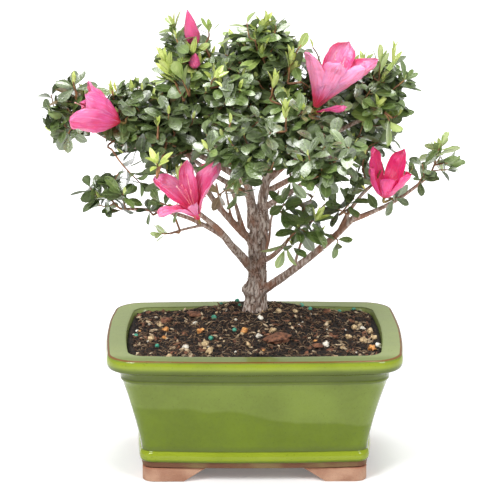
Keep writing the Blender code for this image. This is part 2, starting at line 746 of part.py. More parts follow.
def try_leaf(room, placed, root, sunk, way, turn, lean, length):
    """A leaf at a place on a shoot, turned round it and shortened until it fits, or None."""
    side = way.orthogonal().normalized()
    other = way.cross(side)
    for twist in LEAF_TWISTS:
        angle = turn + twist
        out = side * math.cos(angle) + other * math.sin(angle)
        along = (way * math.cos(lean) + out * math.sin(lean) + UP * LEAF_LIFT).normalized()
        across = along.cross(UP if abs(along.z) < 0.9 else side).normalized()
        across = (across + way.cross(along) * 0.6).normalized()
        across = (across - along * across.dot(along)).normalized()
        for cut in LEAF_CUTS:
            points = leaf_points(root - along * sunk, along, across, length * cut)
            samples = leaf_samples(points)
            if all(room.holds(point) for point in samples) and placed.is_clear(samples):
                placed.add(samples)
                return points
    return None


def grow_leaves(room, twigs, shoots, draw):
    """A rosette of leaves along each shoot's last stretch, left out where there is no room."""
    placed = Placed(twigs)
    leaves = []
    for end, way in shoots:
        turn = draw.uniform(0, math.tau)
        for i in range(LEAVES_A_SHOOT):
            young = i == 0
            lean = math.radians(draw.uniform(*(YOUNG_LEAN if young else LEAF_LEAN)))
            length = LEAF_LENGTH * draw.uniform(0.85, 1.1) * (YOUNG_CUT if young else 1.0)
            root = end - way * (LEAF_STEP * i)
            sunk = YOUNG_SUNK if young else LEAF_SUNK
            leaf = try_leaf(room, placed, root, sunk, way, turn + GOLDEN_TURN * i, lean, length)
            if leaf:
                leaves.append(leaf)
    return leaves


def leaf_bmesh(points):
    """One leaf as a closed blade of eight faces."""
    bm = bmesh.new()
    verts = [bm.verts.new(point) for point in points]
    for face in LEAF_FACES:
        bm.faces.new([verts[i] for i in face])
    return bm


def bloom_rings(bloom):
    """An open funnel of pointed lobes, as rings up its outside and down its inside."""
    foot, mouth = Vector(bloom.foot), Vector(bloom.mouth)
    axis = mouth - foot
    side = axis.orthogonal().normalized()
    other = axis.normalized().cross(side)

    def ring(part, radius, lobed):
        points = []
        for k in range(2 * LOBES):
            angle = math.pi * k / LOBES
            lobe = lobed * (1.0 if k % 2 == 0 else -1.0)
            spoke = side * math.cos(angle) + other * math.sin(angle)
            points.append(foot + axis * (part + LOBE_RISE * lobe) + spoke * radius * (1 + LOBE_WIDEN * lobe))
        return points

    outside = ((0.0, 0.10, 0.0), (0.35, 0.30, 0.0), (0.72, 0.62, 0.4), (1.0, 1.0, 1.0))
    inside = ((1.03, 1.0, 1.0), (0.76, 0.60, 0.4), (0.30, 0.20, 0.0))
    rings = [ring(part, bloom.radius * wide, lobed) for part, wide, lobed in outside]
    rings += [ring(part, bloom.radius * wide - PETAL_THICKNESS, lobed) for part, wide, lobed in inside]
    return rings


def bud_rings(bloom):
    """A closed bud: a slim cone that swells above its foot."""
    foot, mouth = Vector(bloom.foot), Vector(bloom.mouth)
    centres = [foot.lerp(mouth, part) for part in (0.0, 0.25, 0.62, 1.0)]
    radii = [bloom.radius * part for part in (0.35, 0.85, 0.72, 0.10)]
    return tube_rings(centres, radii, 6)


def grow_flowers(mass, twigs):
    """The mass's flowers and the stalks that join them to its twigs."""
    solids = []
    forks = [point for twig in twigs for point in twig.points[1:]]
    for bloom in BLOOMS:
        if bloom.mass != mass.name:
            continue
        rings = bloom_rings(bloom) if bloom.opened else bud_rings(bloom)
        foot, mouth = Vector(bloom.foot), Vector(bloom.mouth)
        root = min(forks, key=lambda fork: (fork - foot).length)
        inside = foot.lerp(mouth, 0.12)
        solids.append(loft(rings))
        solids.append(loft(tube_rings([root, foot.lerp(root, 0.1), inside], [TWIG_RADIUS] * 3, TWIG_SIDES)))
    return solids


def make_mass(mass, limbs, flowers):
    """One mass of foliage, joined into a single body."""
    draw = random.Random(mass.name)
    room = Room(mass, limbs, flowers)
    twigs, shoots = grow_twigs(room, limbs[mass.bough], mass.shoots, draw)
    solids = [
        loft(tube_rings(twig.points, twig.radii(), TWIG_SIDES, roll=draw.uniform(0, 2)))
        for twig in twigs
    ]
    leaves = grow_leaves(room, twigs, shoots, draw)
    solids += grow_flowers(mass, twigs)
    solids += [leaf_bmesh(points) for points in leaves]
    stem = add_object(mass.name, solids[0])
    pieces = bpy.data.collections.new("pieces")
    bpy.context.scene.collection.children.link(pieces)
    for number, bm in enumerate(solids[1:]):
        piece = add_object(f"piece_{number}", bm)
        bpy.context.scene.collection.objects.unlink(piece)
        pieces.objects.link(piece)
    apply_boolean(stem, "UNION", pieces=pieces)
    for piece in list(pieces.objects):
        bpy.data.objects.remove(piece)
    bpy.data.collections.remove(pieces)
    keep_main_body(stem)
    finish(stem, LEAF_GREEN, 0.5)
    return len(leaves)


def main():
    for obj in list(bpy.data.objects):
        bpy.data.objects.remove(obj)
    make_pot()
    make_feet()
    make_soil()
    limbs = make_limbs()
    flowers = [FlowerRoom(bloom) for bloom in BLOOMS]
    counts = [make_mass(mass, limbs, flowers) for mass in MASSES]
    print(f"{sum(counts)} leaves:", counts)


main()
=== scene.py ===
"""Azalea bonsai in a glazed pot: the looks of every piece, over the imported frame.

Metres, +Z up. The origin is on the ground under the middle of the pot, whose front faces -Y.
The trunk and the boughs follow the source's paths, and the foliage grows on from their tips
by the source's rule, carried to finer twigs within the same reach.
"""

import json
import logging
import math
import random
from collections.abc import Callable, Iterable, Mapping, Sequence
from dataclasses import dataclass, field
from enum import Enum
from typing import NamedTuple

import bmesh
import bpy
import numpy as np
from mathutils import Euler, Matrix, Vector, noise

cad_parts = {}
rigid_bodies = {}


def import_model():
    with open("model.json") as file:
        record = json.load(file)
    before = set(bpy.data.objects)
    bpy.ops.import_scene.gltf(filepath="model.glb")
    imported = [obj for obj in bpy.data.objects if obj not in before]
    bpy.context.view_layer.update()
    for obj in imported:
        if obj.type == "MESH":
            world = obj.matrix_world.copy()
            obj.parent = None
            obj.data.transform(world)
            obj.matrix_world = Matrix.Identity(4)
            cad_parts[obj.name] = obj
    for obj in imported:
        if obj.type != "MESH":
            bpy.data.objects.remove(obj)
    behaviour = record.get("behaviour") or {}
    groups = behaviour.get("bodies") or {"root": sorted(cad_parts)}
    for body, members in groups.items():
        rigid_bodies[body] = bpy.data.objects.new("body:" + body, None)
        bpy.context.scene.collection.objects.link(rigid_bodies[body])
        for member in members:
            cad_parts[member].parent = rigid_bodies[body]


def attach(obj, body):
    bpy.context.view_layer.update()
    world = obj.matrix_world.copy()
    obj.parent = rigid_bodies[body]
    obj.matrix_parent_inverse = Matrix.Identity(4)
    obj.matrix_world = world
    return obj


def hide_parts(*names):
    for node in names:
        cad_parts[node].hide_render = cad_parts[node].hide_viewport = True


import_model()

log = logging.getLogger("bonsai")

UP = Vector((0.0, 0.0, 1.0))
GOLDEN_TURN = math.pi * (3 - math.sqrt(5))
GAP = 0.0003
GROUND_HEIGHT = 0.1026
Colour = tuple[float, float, float]
Place = tuple[float, float, float]
Array = np.ndarray
Shape = tuple[Array, Array]
Marked = tuple[Array, Array, dict[str, Array]]


def tint(red: int, green: int, blue: int) -> Colour:
    """Turn a display colour of 0 to 255 into linear light.

    Args:
        red: Its red.
        green: Its green.
        blue: Its blue.

    Returns:
        The colour as Blender takes it.
    """
    parts = [channel / 255 for channel in (red, green, blue)]
    linear = [p / 12.92 if p <= 0.04045 else ((p + 0.055) / 1.055) ** 2.4 for p in parts]
    return (linear[0], linear[1], linear[2])


# Shader maths


class Value:
    """A shader socket that takes part in arithmetic, adding a Math node at each step."""

    def __init__(self, shader: "Shader", socket: bpy.types.NodeSocket) -> None:
        """Hold on to a socket.

        Args:
            shader: The shader that it belongs to.
            socket: The socket.
        """
        self.shader = shader
        self.socket = socket

    def maths(self, operation: str, *others: "Value | float") -> "Value":
        """The result of one Math node on this value and others."""
        sockets = dict(enumerate((self, *others)))
        return self.shader.node("ShaderNodeMath", "Value", sockets, operation=operation)

    def __add__(self, other: "Value | float") -> "Value":
        """The sum, either way round."""
        return self.maths("ADD", other)

    def __sub__(self, other: "Value | float") -> "Value":
        """This less the other."""
        return self.maths("SUBTRACT", other)

    def __rsub__(self, other: float) -> "Value":
        """The other less this."""
        return self * -1.0 + other

    def __mul__(self, other: "Value | float") -> "Value":
        """The product, either way round."""
        return self.maths("MULTIPLY", other)

    __radd__ = __add__
    __rmul__ = __mul__

    def between(self, low: float, high: float) -> "Value":
        """0 at low and below, 1 at high and above, smooth between.

        Args:
            low: Where it is 0.
            high: Where it is 1.

        Returns:
            The new value.
        """
        sockets = {"Value": self, "From Min": low, "From Max": high}
        settings = {"interpolation_type": "SMOOTHSTEP", "clamp": True}
        return self.shader.node("ShaderNodeMapRange", "Result", sockets, **settings)


class Shader:
    """The nodes of one material, with the patterns that the finishes share."""

    def __init__(self, name: str) -> None:
        """Make a material with an empty node tree.

        Args:
            name: The material's name.
        """
        self.material = bpy.data.materials.new(name)
        self.material.use_nodes = True
        self.tree = self.material.node_tree
        self.place = self.node("ShaderNodeTexCoord", "Object", {})

    def node(
        self, kind: str, output: str | int, sockets: Mapping[str | int, object], **settings: object
    ) -> Value:
        """Add a node.

        Args:
            kind: The node's type.
            output: Which of its outputs is wanted.
            sockets: What each input gets: a Value to link, or a plain value.
            **settings: Its own settings, which are set first.

        Returns:
            The wanted output.
        """
        made = self.tree.nodes.new(kind)
        for name, setting in settings.items():
            setattr(made, name, setting)
        self.feed(made, sockets)
        return Value(self, made.outputs[output])

    def feed(self, node: bpy.types.Node, sockets: Mapping[str | int, object]) -> None:
        """Link a Value to each of a node's inputs, or set the input's own value.

        Args:
            node: The node.
            sockets: A Value or a plain value for each of its inputs.
        """
        for name, given in sockets.items():
            socket = node.inputs[name]
            if isinstance(given, Value):
                self.tree.links.new(given.socket, socket)
            else:
                socket.default_value = (*given, 1.0) if socket.type == "RGBA" else given

    def grain(self, scale: float, detail: float = 2.0, stretch: Place = (1.0, 1.0, 1.0)) -> Value:
        """Make noise in Object coordinates, from 0 to 1.

        Args:
            scale: How fine it is.
            detail: How many finer layers it has.
            stretch: A factor on the scale along each axis.

        Returns:
            The noise.
        """
        mapped = self.node("ShaderNodeMapping", "Vector", {"Vector": self.place, "Scale": stretch})
        sockets = {"Vector": mapped, "Scale": scale, "Detail": detail}
        return self.node("ShaderNodeTexNoise", "Fac", sockets)

    def cells(self, scale: float) -> Value:
        """Distance to the nearest of many scattered points."""
        return self.node("ShaderNodeTexVoronoi", "Distance", {"Vector": self.place, "Scale": scale})

    def marked(self, name: str) -> Value:
        """A number that the mesh carries at its points."""
        return self.node("ShaderNodeAttribute", "Fac", {}, attribute_name=name)

    def axis(self, name: str) -> Value:
        """Distance from the origin along X, Y or Z."""
        return self.node("ShaderNodeSeparateXYZ", name, {"Vector": self.place})

    def mixed(self, share: Value | float, low: Value | Colour, high: Value | Colour) -> Value:
        """A colour between two others. The Mix node's inputs 6 and 7 and its output 2 are its colours."""
        return self.node("ShaderNodeMix", 2, {"Factor": share, 6: low, 7: high}, data_type="RGBA")

    def raised(self, height: Value, distance: float, strength: float = 1.0) -> Value:
        """A normal from a relief of this many metres."""
        sockets = {"Height": height, "Distance": distance, "Strength": strength}
        return self.node("ShaderNodeBump", "Normal", sockets)

    def dress(self, sockets: Mapping[str, object]) -> bpy.types.Material:
        """Feed the surface's own inputs and give back the material."""
        self.feed(self.tree.nodes["Principled BSDF"], sockets)
        return self.material


# Finishes


@dataclass(frozen=True)
class GlazeFinish:
    """The pot's olive glaze: lime on the mouldings, partly painted highlight; painted shade under the lip,
    ledge and bead and in the cove; a paler band of painted reflection on the upper walls; brown where it
    breaks; bare clay below.
    """

    body: Colour = tint(94, 112, 8)
    # deep is the darker glaze of the mottle and speckle, and the colour of the painted shade.
    deep: Colour = tint(60, 70, 6)
    # The lime of the mouldings, which stands partly for a painted highlight.
    pooled: Colour = tint(132, 146, 30)
    # The paler green of the painted reflection on the upper walls.
    band: Colour = tint(108, 124, 46)
    rim: Colour = tint(146, 158, 100)
    broken: Colour = tint(118, 82, 40)
    clay: Colour = tint(98, 62, 42)
    ash: Colour = tint(112, 92, 58)
    slab_top: float = 0.0152
    # Height of the painted reflection's wavy lower edge.
    band_edge: float = 0.052

    def make(self) -> bpy.types.Material:
        """Build the glaze's material.

        Returns:
            The material.
        """
        s = Shader("pot_glaze")
        height = s.axis("Z")
        # Painted reflection: above a wavy edge that falls from left to right, the walls turn a paler green.
        wavy = height + 0.08 * s.axis("X") + 0.016 * s.grain(11.0, 1.0) - 0.008
        wavy = wavy + 0.007 * s.grain(38.0, 2.0) - 0.003
        reflection_share = wavy.between(self.band_edge - 0.0012, self.band_edge + 0.0016)
        colour = s.mixed(reflection_share, self.body, self.band)
        cloudy = s.grain(26.0, 4.0).between(0.35, 0.75) * 0.32
        cloudy = cloudy + s.grain(420.0, 3.0).between(0.42, 0.7) * 0.07
        colour = s.mixed(cloudy, colour, self.deep)
        # Painted shade where the outline marks it: under the lip, the ledge and the bead, and in the cove.
        colour = s.mixed(s.marked("deep"), colour, self.deep)
        front = s.axis("Y").between(-0.058, -0.07) * 0.75
        colour = s.mixed(s.marked("rim"), colour, s.mixed(front, self.rim, self.band))
        # Lime where the outline marks it: on the lip, ledge and bead a painted highlight where they face up.
        lime_and_highlight_share = s.marked("pooled") * (0.65 + 0.5 * s.grain(60.0, 3.0))
        colour = s.mixed(lime_and_highlight_share.between(0.15, 0.9), colour, self.pooled)
        breaking = s.marked("broken") * (0.45 + 0.9 * s.grain(110.0, 3.0))
        colour = s.mixed(breaking.between(0.35, 0.8), colour, self.broken)
        speckle = s.grain(900.0, 1.0).between(0.66, 0.74) * 0.35
        colour = s.mixed(speckle, colour, self.deep)
        ragged = height + 0.0012 * s.grain(140.0, 3.0)
        glazed = ragged.between(self.slab_top + 0.0001, self.slab_top + 0.0006)
        wash = s.mixed(s.grain(55.0, 4.0).between(0.4, 0.7), self.clay, self.ash)
        relief = s.grain(45.0, 2.0) * 1.3 + s.grain(240.0, 2.0) * 0.2
        return s.dress({
            "Base Color": s.mixed(glazed, wash, colour),
            "Roughness": 0.7 - 0.62 * glazed,
            "Specular IOR Level": 0.34,
            "Normal": s.raised(relief, 0.0011, 0.45),
        })


@dataclass(frozen=True)
class ClayFinish:
    """Fired clay without glaze, on the feet, redder where the glaze begins."""

    light: Colour = tint(178, 140, 116)
    dark: Colour = tint(148, 106, 84)
    red: Colour = tint(150, 88, 62)
    speck: Colour = tint(120, 78, 60)

    def make(self) -> bpy.types.Material:
        """Build the clay's material.

        Returns:
            The material.
        """
        s = Shader("bare_clay")
        colour = s.mixed(s.grain(70.0, 5.0).between(0.3, 0.7), self.dark, self.light)
        colour = s.mixed(s.axis("Z").between(0.0085, 0.0105) * 0.7, colour, self.red)
        colour = s.mixed(s.grain(1400.0, 1.0).between(0.6, 0.7) * 0.4, colour, self.speck)
        return s.dress({
            "Base Color": colour,
            "Roughness": 0.78 + 0.15 * s.grain(300.0),
            "Normal": s.raised(s.grain(500.0, 4.0), 0.0004, 0.6),
        })


@dataclass(frozen=True)
class EarthFinish:
    """Potting soil: near black, with brown crumbs and pale dust."""

    name: str = "potting_soil"
    dark: Colour = tint(14, 10, 8)
    light: Colour = tint(58, 41, 31)
    dust: Colour = tint(150, 120, 95)

    def make(self) -> bpy.types.Material:
        """Build the soil's material.

        Returns:
            The material.
        """
        s = Shader(self.name)
        colour = s.mixed(s.grain(420.0, 6.0).between(0.42, 0.72), self.dark, self.light)
        colour = s.mixed(s.grain(1500.0, 2.0).between(0.62, 0.74) * 0.6, colour, self.dust)
        return s.dress({
            "Base Color": colour,
            "Roughness": 0.82 + 0.15 * s.grain(260.0),
            "Normal": s.raised(s.grain(900.0, 5.0), 0.0009, 0.9),
        })


@dataclass(frozen=True)
class GritFinish:
    """A pebble, chip, pellet or fibre: two tones, how dull it is and how fine its pattern."""

    name: str
    dark: Colour
    light: Colour
    dullness: float = 0.7
    fineness: float = 500.0

    def make(self) -> bpy.types.Material:
        """Build the material of this kind of grit.

        Returns:
            The material.
        """
        s = Shader(self.name)
        pattern = s.grain(self.fineness, 4.0)
        return s.dress({
            "Base Color": s.mixed(pattern.between(0.32, 0.68), self.dark, self.light),
            "Roughness": self.dullness - 0.1 + 0.2 * pattern,
            "Normal": s.raised(s.grain(self.fineness * 2.5, 3.0), 0.0004, 0.6),
        })


@dataclass(frozen=True)
class BarkFinish:
    """Grey-brown bark with dark furrows and reddish peeled patches."""

    grey: Colour = tint(206, 192, 182)
    brown: Colour = tint(124, 100, 86)
    furrow: Colour = tint(62, 46, 38)
    peeled: Colour = tint(146, 98, 74)

    def make(self) -> bpy.types.Material:
        """Build the bark's material.

        Returns:
            The material.
        """
        s = Shader("old_bark")
        fine = s.grain(620.0, 6.0, (1.0, 1.0, 0.32))
        colour = s.mixed(fine.between(0.38, 0.64), self.brown, self.grey)
        patches = s.grain(70.0, 3.0, (1.0, 1.0, 0.45)).between(0.52, 0.66)
        colour = s.mixed(patches * 0.6 + s.marked("slim") * 0.55, colour, self.peeled)
        colour = s.mixed(s.marked("furrow").between(0.45, 0.95) * 0.85, colour, self.furrow)
        relief = s.grain(700.0, 4.0, (1.0, 1.0, 0.3)) * 0.6 + s.cells(900.0) * 0.4
        return s.dress({
            "Base Color": colour,
            "Roughness": 0.72 + 0.2 * fine,
            "Normal": s.raised(relief, 0.0007, 0.8),
        })


@dataclass(frozen=True)
class TwigFinish:
    """Young wood: reddish brown, greener where a shoot is fresh."""

    name: str
    wood: Colour
    young: Colour

    def make(self) -> bpy.types.Material:
        """Build the twigs' material.

        Returns:
            The material.
        """
        s = Shader(self.name)
        return s.dress({
            "Base Color": s.mixed(s.grain(260.0, 4.0).between(0.4, 0.7), self.wood, self.young),
            "Roughness": 0.55 + 0.2 * s.grain(400.0),
            "Normal": s.raised(s.grain(1600.0, 3.0), 0.0002, 0.7),
        })


@dataclass(frozen=True)
class LeafFinish:
    """A group of leaves: blade, paler rib and underside, and how rough the wax on them is."""

    name: str
    deep: Colour
    blade: Colour
    rib: Colour
    roughness: float

    def make(self) -> bpy.types.Material:
        """Build the leaves' material.

        Returns:
            The material.
        """
        s = Shader(self.name)
        mottled = s.grain(190.0, 3.0).between(0.3, 0.7)
        colour = s.mixed(mottled * 0.5 + s.marked("tone") * 0.5, self.deep, self.blade)
        colour = s.mixed(s.marked("rib").between(0.8, 0.98) * 0.55, colour, self.rib)
        return s.dress({
            "Base Color": s.mixed(s.marked("under") * 0.6, colour, self.rib),
            "Roughness": self.roughness + 0.16 * mottled + 0.25 * s.marked("under"),
            "Specular IOR Level": 1.0,
            "Coat Weight": 0.8,
            "Coat Roughness": 0.15,
            "Normal": s.raised(s.grain(560.0, 3.0), 0.0007, 0.7),
        })


@dataclass(frozen=True)
class PetalFinish:
    """A petal: a deep throat, a bright blade, a paler edge, fine veins and freckles, and painted shade on its
    inner face towards the foot.
    """

    name: str
    throat: Colour = tint(212, 36, 66)
    blade: Colour = tint(218, 72, 134)
    edge: Colour = tint(242, 166, 206)
    freckle: Colour = tint(150, 8, 60)
    paleness: float = 0.7

    def make(self) -> bpy.types.Material:
        """Build the petals' material.

        Returns:
            The material.
        """
        s = Shader(self.name)
        along = s.marked("along")
        inside = s.marked("inside")
        colour = s.mixed(along.between(0.05, 0.4) * (1 - 0.15 * inside), self.throat, self.blade)
        # Painted shade: the inner face darkens towards the foot, deep in the funnel.
        colour = s.mixed(inside * along.between(0.7, 0.2) * 0.4, colour, self.throat)
        colour = s.mixed(s.marked("pale") * along.between(0.15, 0.5), colour, self.edge)
        cloud = s.grain(85.0, 3.0).between(0.35, 0.7)
        pale = cloud * (0.35 + 0.65 * inside) * self.paleness
        colour = s.mixed(along.between(0.4, 0.9) * pale, colour, self.edge)
        sockets = {"X": s.marked("across") * 6.0, "Y": along * 1.8}
        fan = s.node("ShaderNodeCombineXYZ", "Vector", sockets)
        streak = s.node("ShaderNodeTexNoise", "Fac", {"Vector": fan, "Scale": 1.6, "Detail": 4.0})
        colour = s.mixed(streak.between(0.5, 0.72) * 0.45, colour, self.edge)
        colour = s.mixed(streak.between(0.5, 0.3) * 0.4, colour, self.throat)
        colour = s.mixed(s.marked("veined").between(0.72, 1.0) * 0.22, colour, self.throat)
        spots = (1 - s.cells(620.0).between(0.12, 0.22)) * s.marked("freckled")
        relief = s.marked("veined") * 0.5 + s.grain(300.0, 4.0) + streak
        return s.dress({
            "Base Color": s.mixed(spots * 0.8, colour, self.freckle),
            "Roughness": 0.34 + 0.2 * cloud,
            "Subsurface Weight": 0.3,
            "Subsurface Scale": 0.004,
            "Coat Weight": 0.3,
            "Coat Roughness": 0.22,
            "Normal": s.raised(relief, 0.001, 0.7),
        })


@dataclass(frozen=True)
class FloorFinish:
    """The studio's white sweep, which glows a little as if lit from below, and more far off."""

    low: Colour = (0.88, 0.88, 0.88)
    high: Colour = (0.9, 0.9, 0.9)
    near_glow: Colour = (0.14, 0.14, 0.14)
    far_glow: Colour = (0.75, 0.75, 0.75)

    def make(self) -> bpy.types.Material:
        """Build the floor's material.

        Returns:
            The material.
        """
        s = Shader("studio_floor")
        return s.dress({
            "Base Color": s.mixed(s.grain(3.0, 2.0), self.low, self.high),
            "Roughness": 0.8,
            "Emission Color": s.mixed(s.axis("Y").between(0.15, 1.3), self.near_glow, self.far_glow),
            "Emission Strength": 1.0,
        })


# Mesh helpers


def deselect() -> None:
    """Leave object mode with nothing selected."""
    if bpy.context.mode != "OBJECT":
        bpy.ops.object.mode_set(mode="OBJECT")
    bpy.ops.object.select_all(action="DESELECT")


def make_active(obj: bpy.types.Object) -> None:
    """Select one object only.

    Args:
        obj: The object.
    """
    deselect()
    obj.select_set(True)
    bpy.context.view_layer.objects.active = obj


def settle(obj: bpy.types.Object) -> None:
    """Move an object's place, turn and scale into its mesh."""
    make_active(obj)
    bpy.ops.object.transform_apply(location=True, rotation=True, scale=True)


def smooth(obj: bpy.types.Object, degrees: float) -> bpy.types.Object:
    """Shade an object smooth, apart from its edges that are sharper than this.

    Args:
        obj: The object.
        degrees: How sharp an edge stays.

    Returns:
        The same object.
    """
    make_active(obj)
    bpy.ops.object.shade_smooth_by_angle(angle=math.radians(degrees))
    return obj


def pick(obj: bpy.types.Object, kind: str, wanted: Callable[[Vector], bool]) -> None:
    """In edit mode, select the points, edges or faces all of whose points pass a test.

    Args:
        obj: The object.
        kind: VERT, EDGE or FACE.
        wanted: The test of a point's place.
    """
    bpy.ops.mesh.select_mode(type="VERT")
    bpy.ops.mesh.select_all(action="DESELECT")
    shaped = bmesh.from_edit_mesh(obj.data)
    for vert in shaped.verts:
        vert.select = wanted(vert.co)
    shaped.select_flush(True)
    bmesh.update_edit_mesh(obj.data)
    bpy.ops.mesh.select_mode(type=kind)


def apply_modifier(obj: bpy.types.Object, kind: str, settings: Mapping[str, object]) -> None:
    """Add a modifier with its settings and apply it.

    Args:
        obj: The object.
        kind: Blender's name for the kind of modifier.
        settings: Its settings by name.
    """
    make_active(obj)
    modifier = obj.modifiers.new(kind.lower(), kind)
    for name, setting in settings.items():
        setattr(modifier, name, setting)
    bpy.ops.object.modifier_apply(modifier=modifier.name)


def mesh_object(
    name: str, points: Array, faces: Sequence[Sequence[int]] | Array, marks: Mapping[str, Array] | None = None
) -> bpy.types.Object:
    """Make an object from arrays.

    Args:
        name: The object's name.
        points: Its points, one row each.
        faces: Its faces, as indices of points.
        marks: Numbers that the points carry, by name.

    Returns:
        The object, shaded smooth, at the origin.
    """
    mesh = bpy.data.meshes.new(name)
    listed = faces.tolist() if isinstance(faces, np.ndarray) else faces
    mesh.from_pydata(np.asarray(points).tolist(), [], listed)
    mesh.update()
    mesh.shade_smooth()
    for mark, numbers in (marks or {}).items():
        add_mark(mesh, mark, numbers)
    obj = bpy.data.objects.new(name, mesh)
    bpy.context.scene.collection.objects.link(obj)
    return obj


def add_mark(mesh: bpy.types.Mesh, name: str, numbers: Array) -> None:
    """Let a mesh's points carry a number each."""
    layer = mesh.attributes.new(name, "FLOAT", "POINT")
    layer.data.foreach_set("value", np.asarray(numbers, np.float32).ravel())


def read_rows(things: bpy.types.bpy_prop_collection, name: str) -> Array:
    """Read three numbers of each thing.

    Args:
        things: The things, such as a mesh's vertices.
        name: The name of what is read.

    Returns:
        The numbers, one row each.
    """
    rows = np.empty(len(things) * 3, np.float32)
    things.foreach_get(name, rows)
    return rows.reshape(-1, 3).astype(float)


def move_points(obj: bpy.types.Object, points: Array) -> None:
    """Give a mesh's points new places."""
    obj.data.vertices.foreach_set("co", np.asarray(points, np.float32).ravel())
    obj.data.update()


def add_piece(
    obj: bpy.types.Object, material: bpy.types.Material, nodes: Sequence[str]
) -> bpy.types.Object:
    """Finish a piece.

    Args:
        obj: The piece.
        material: Its material.
        nodes: The nodes that it stands for.

    Returns:
        The piece, which rides on the root.
    """
    obj.data.materials.clear()
    obj.data.materials.append(material)
    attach(obj, "root")
    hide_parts(*nodes)
    obj.data.calc_loop_triangles()
    log.info("%s: %d triangles", obj.name, len(obj.data.loop_triangles))
    return obj


class Batch:
    """Many small shapes gathered into one mesh."""

    def __init__(self) -> None:
        """Start empty."""
        self.points: list[Array] = []
        self.faces: list[Array] = []
        self.marks: dict[str, list[Array]] = {}
        self.count = 0

    def add(self, points: Array, faces: Array, marks: Mapping[str, Array] | None = None) -> None:
        """Add a shape.

        Args:
            points: Its points, one row each.
            faces: Its triangles.
            marks: What its points carry, by name.
        """
        self.points.append(points)
        self.faces.append(np.asarray(faces) + self.count)
        self.count += len(points)
        for name, numbers in (marks or {}).items():
            self.marks.setdefault(name, []).append(np.broadcast_to(numbers, len(points)))

    def build(self, name: str) -> bpy.types.Object:
        """The object that holds all that was added."""
        marks = {mark: np.concatenate(parts) for mark, parts in self.marks.items()}
        return mesh_object(name, np.concatenate(self.points), np.concatenate(self.faces), marks)


def ring_quads(rings: int, count: int) -> list[list[int]]:
    """List the faces between rings of points that follow each other.

    Args:
        rings: How many rings there are.
        count: How many points each ring has.

    Returns:
        Four point numbers for each face.
    """
    quads = []
    for low in range(0, (rings - 1) * count, count):
        for i in range(count):
            j = (i + 1) % count
            quads.append([low + i, low + j, low + count + j, low + count + i])
    return quads


def turned(side: Array | Vector, other: Array | Vector, angle: float) -> Array | Vector:
    """The direction that is this far round from side to other."""
    return side * math.cos(angle) + other * math.sin(angle)


def unit(way: Array) -> Array:
    """A direction of length one."""
    return way / np.linalg.norm(way)


def tube(points: Array, radii: Array, sides: int) -> Shape:
    """A closed tube along a path.

    Args:
        points: The path, one row for each ring.
        radii: The radius at each ring.
        sides: How many points each ring has.

    Returns:
        The tube's points and triangles. Its ends come to blunt points.
    """
    count = len(points)
    tangents = np.gradient(points, axis=0)
    tangents /= np.linalg.norm(tangents, axis=1, keepdims=True)
    normal = np.cross(tangents[0], (0.31, 0.17, 0.93))
    rings = []
    for i in range(count):
        normal = unit(normal - tangents[i] * normal.dot(tangents[i]))
        side = np.cross(tangents[i], normal)
        angles = math.tau * np.arange(sides) / sides
        spokes = np.outer(np.cos(angles), normal) + np.outer(np.sin(angles), side)
        rings.append(points[i] + spokes * radii[i])
    ends = [points[0] - tangents[0] * radii[0] * 0.5, points[-1] + tangents[-1] * radii[-1] * 0.8]
    corner = np.arange(sides)
    after = (corner + 1) % sides
    faces = []
    for low in range(0, (count - 1) * sides, sides):
        high = low + sides
        faces.append(np.stack([low + corner, low + after, high + after], 1))
        faces.append(np.stack([low + corner, high + after, high + corner], 1))
    last, first_end = (count - 1) * sides, count * sides
    faces.append(np.stack([after, corner, np.full(sides, first_end)], 1))
    faces.append(np.stack([last + corner, last + after, np.full(sides, first_end + 1)], 1))
    return np.concatenate([*rings, np.array(ends)]), np.concatenate(faces)


def curve_through(points: Sequence[Vector] | Array, step: float) -> Array:
    """A smooth path through points.

    Args:
        points: The points.
        step: The length of the path's steps.

    Returns:
        The path, one row for each step.
    """
    knots = np.array([tuple(p) for p in points], float)
    padded = np.concatenate([[2 * knots[0] - knots[1]], knots, [2 * knots[-1] - knots[-2]]])
    path = [knots[0]]
    for i in range(1, len(padded) - 2):
        before, start, end, after = padded[i - 1 : i + 3]
        pieces = max(1, math.ceil(np.linalg.norm(end - start) / step))
        for k in range(1, pieces + 1):
            t = k / pieces
            path.append(0.5 * (
                2 * start + (end - before) * t
                + (2 * before - 5 * start + 4 * end - after) * t**2
                + (3 * start - before - 3 * end + after) * t**3
            ))
    return np.array(path)


# Pot


class Line(NamedTuple):
    """A line round the pot: how far in, how high, and its glaze marks: lime, partly painted highlight; brown
    break; rim; painted shade.
    """

    inset: float
    height: float
    # Lime, which on the mouldings is a painted highlight.
    pooled: float = 0.0
    broken: float = 0.0
    rim: float = 0.0
    # How much painted shade.
    deep: float = 0.0


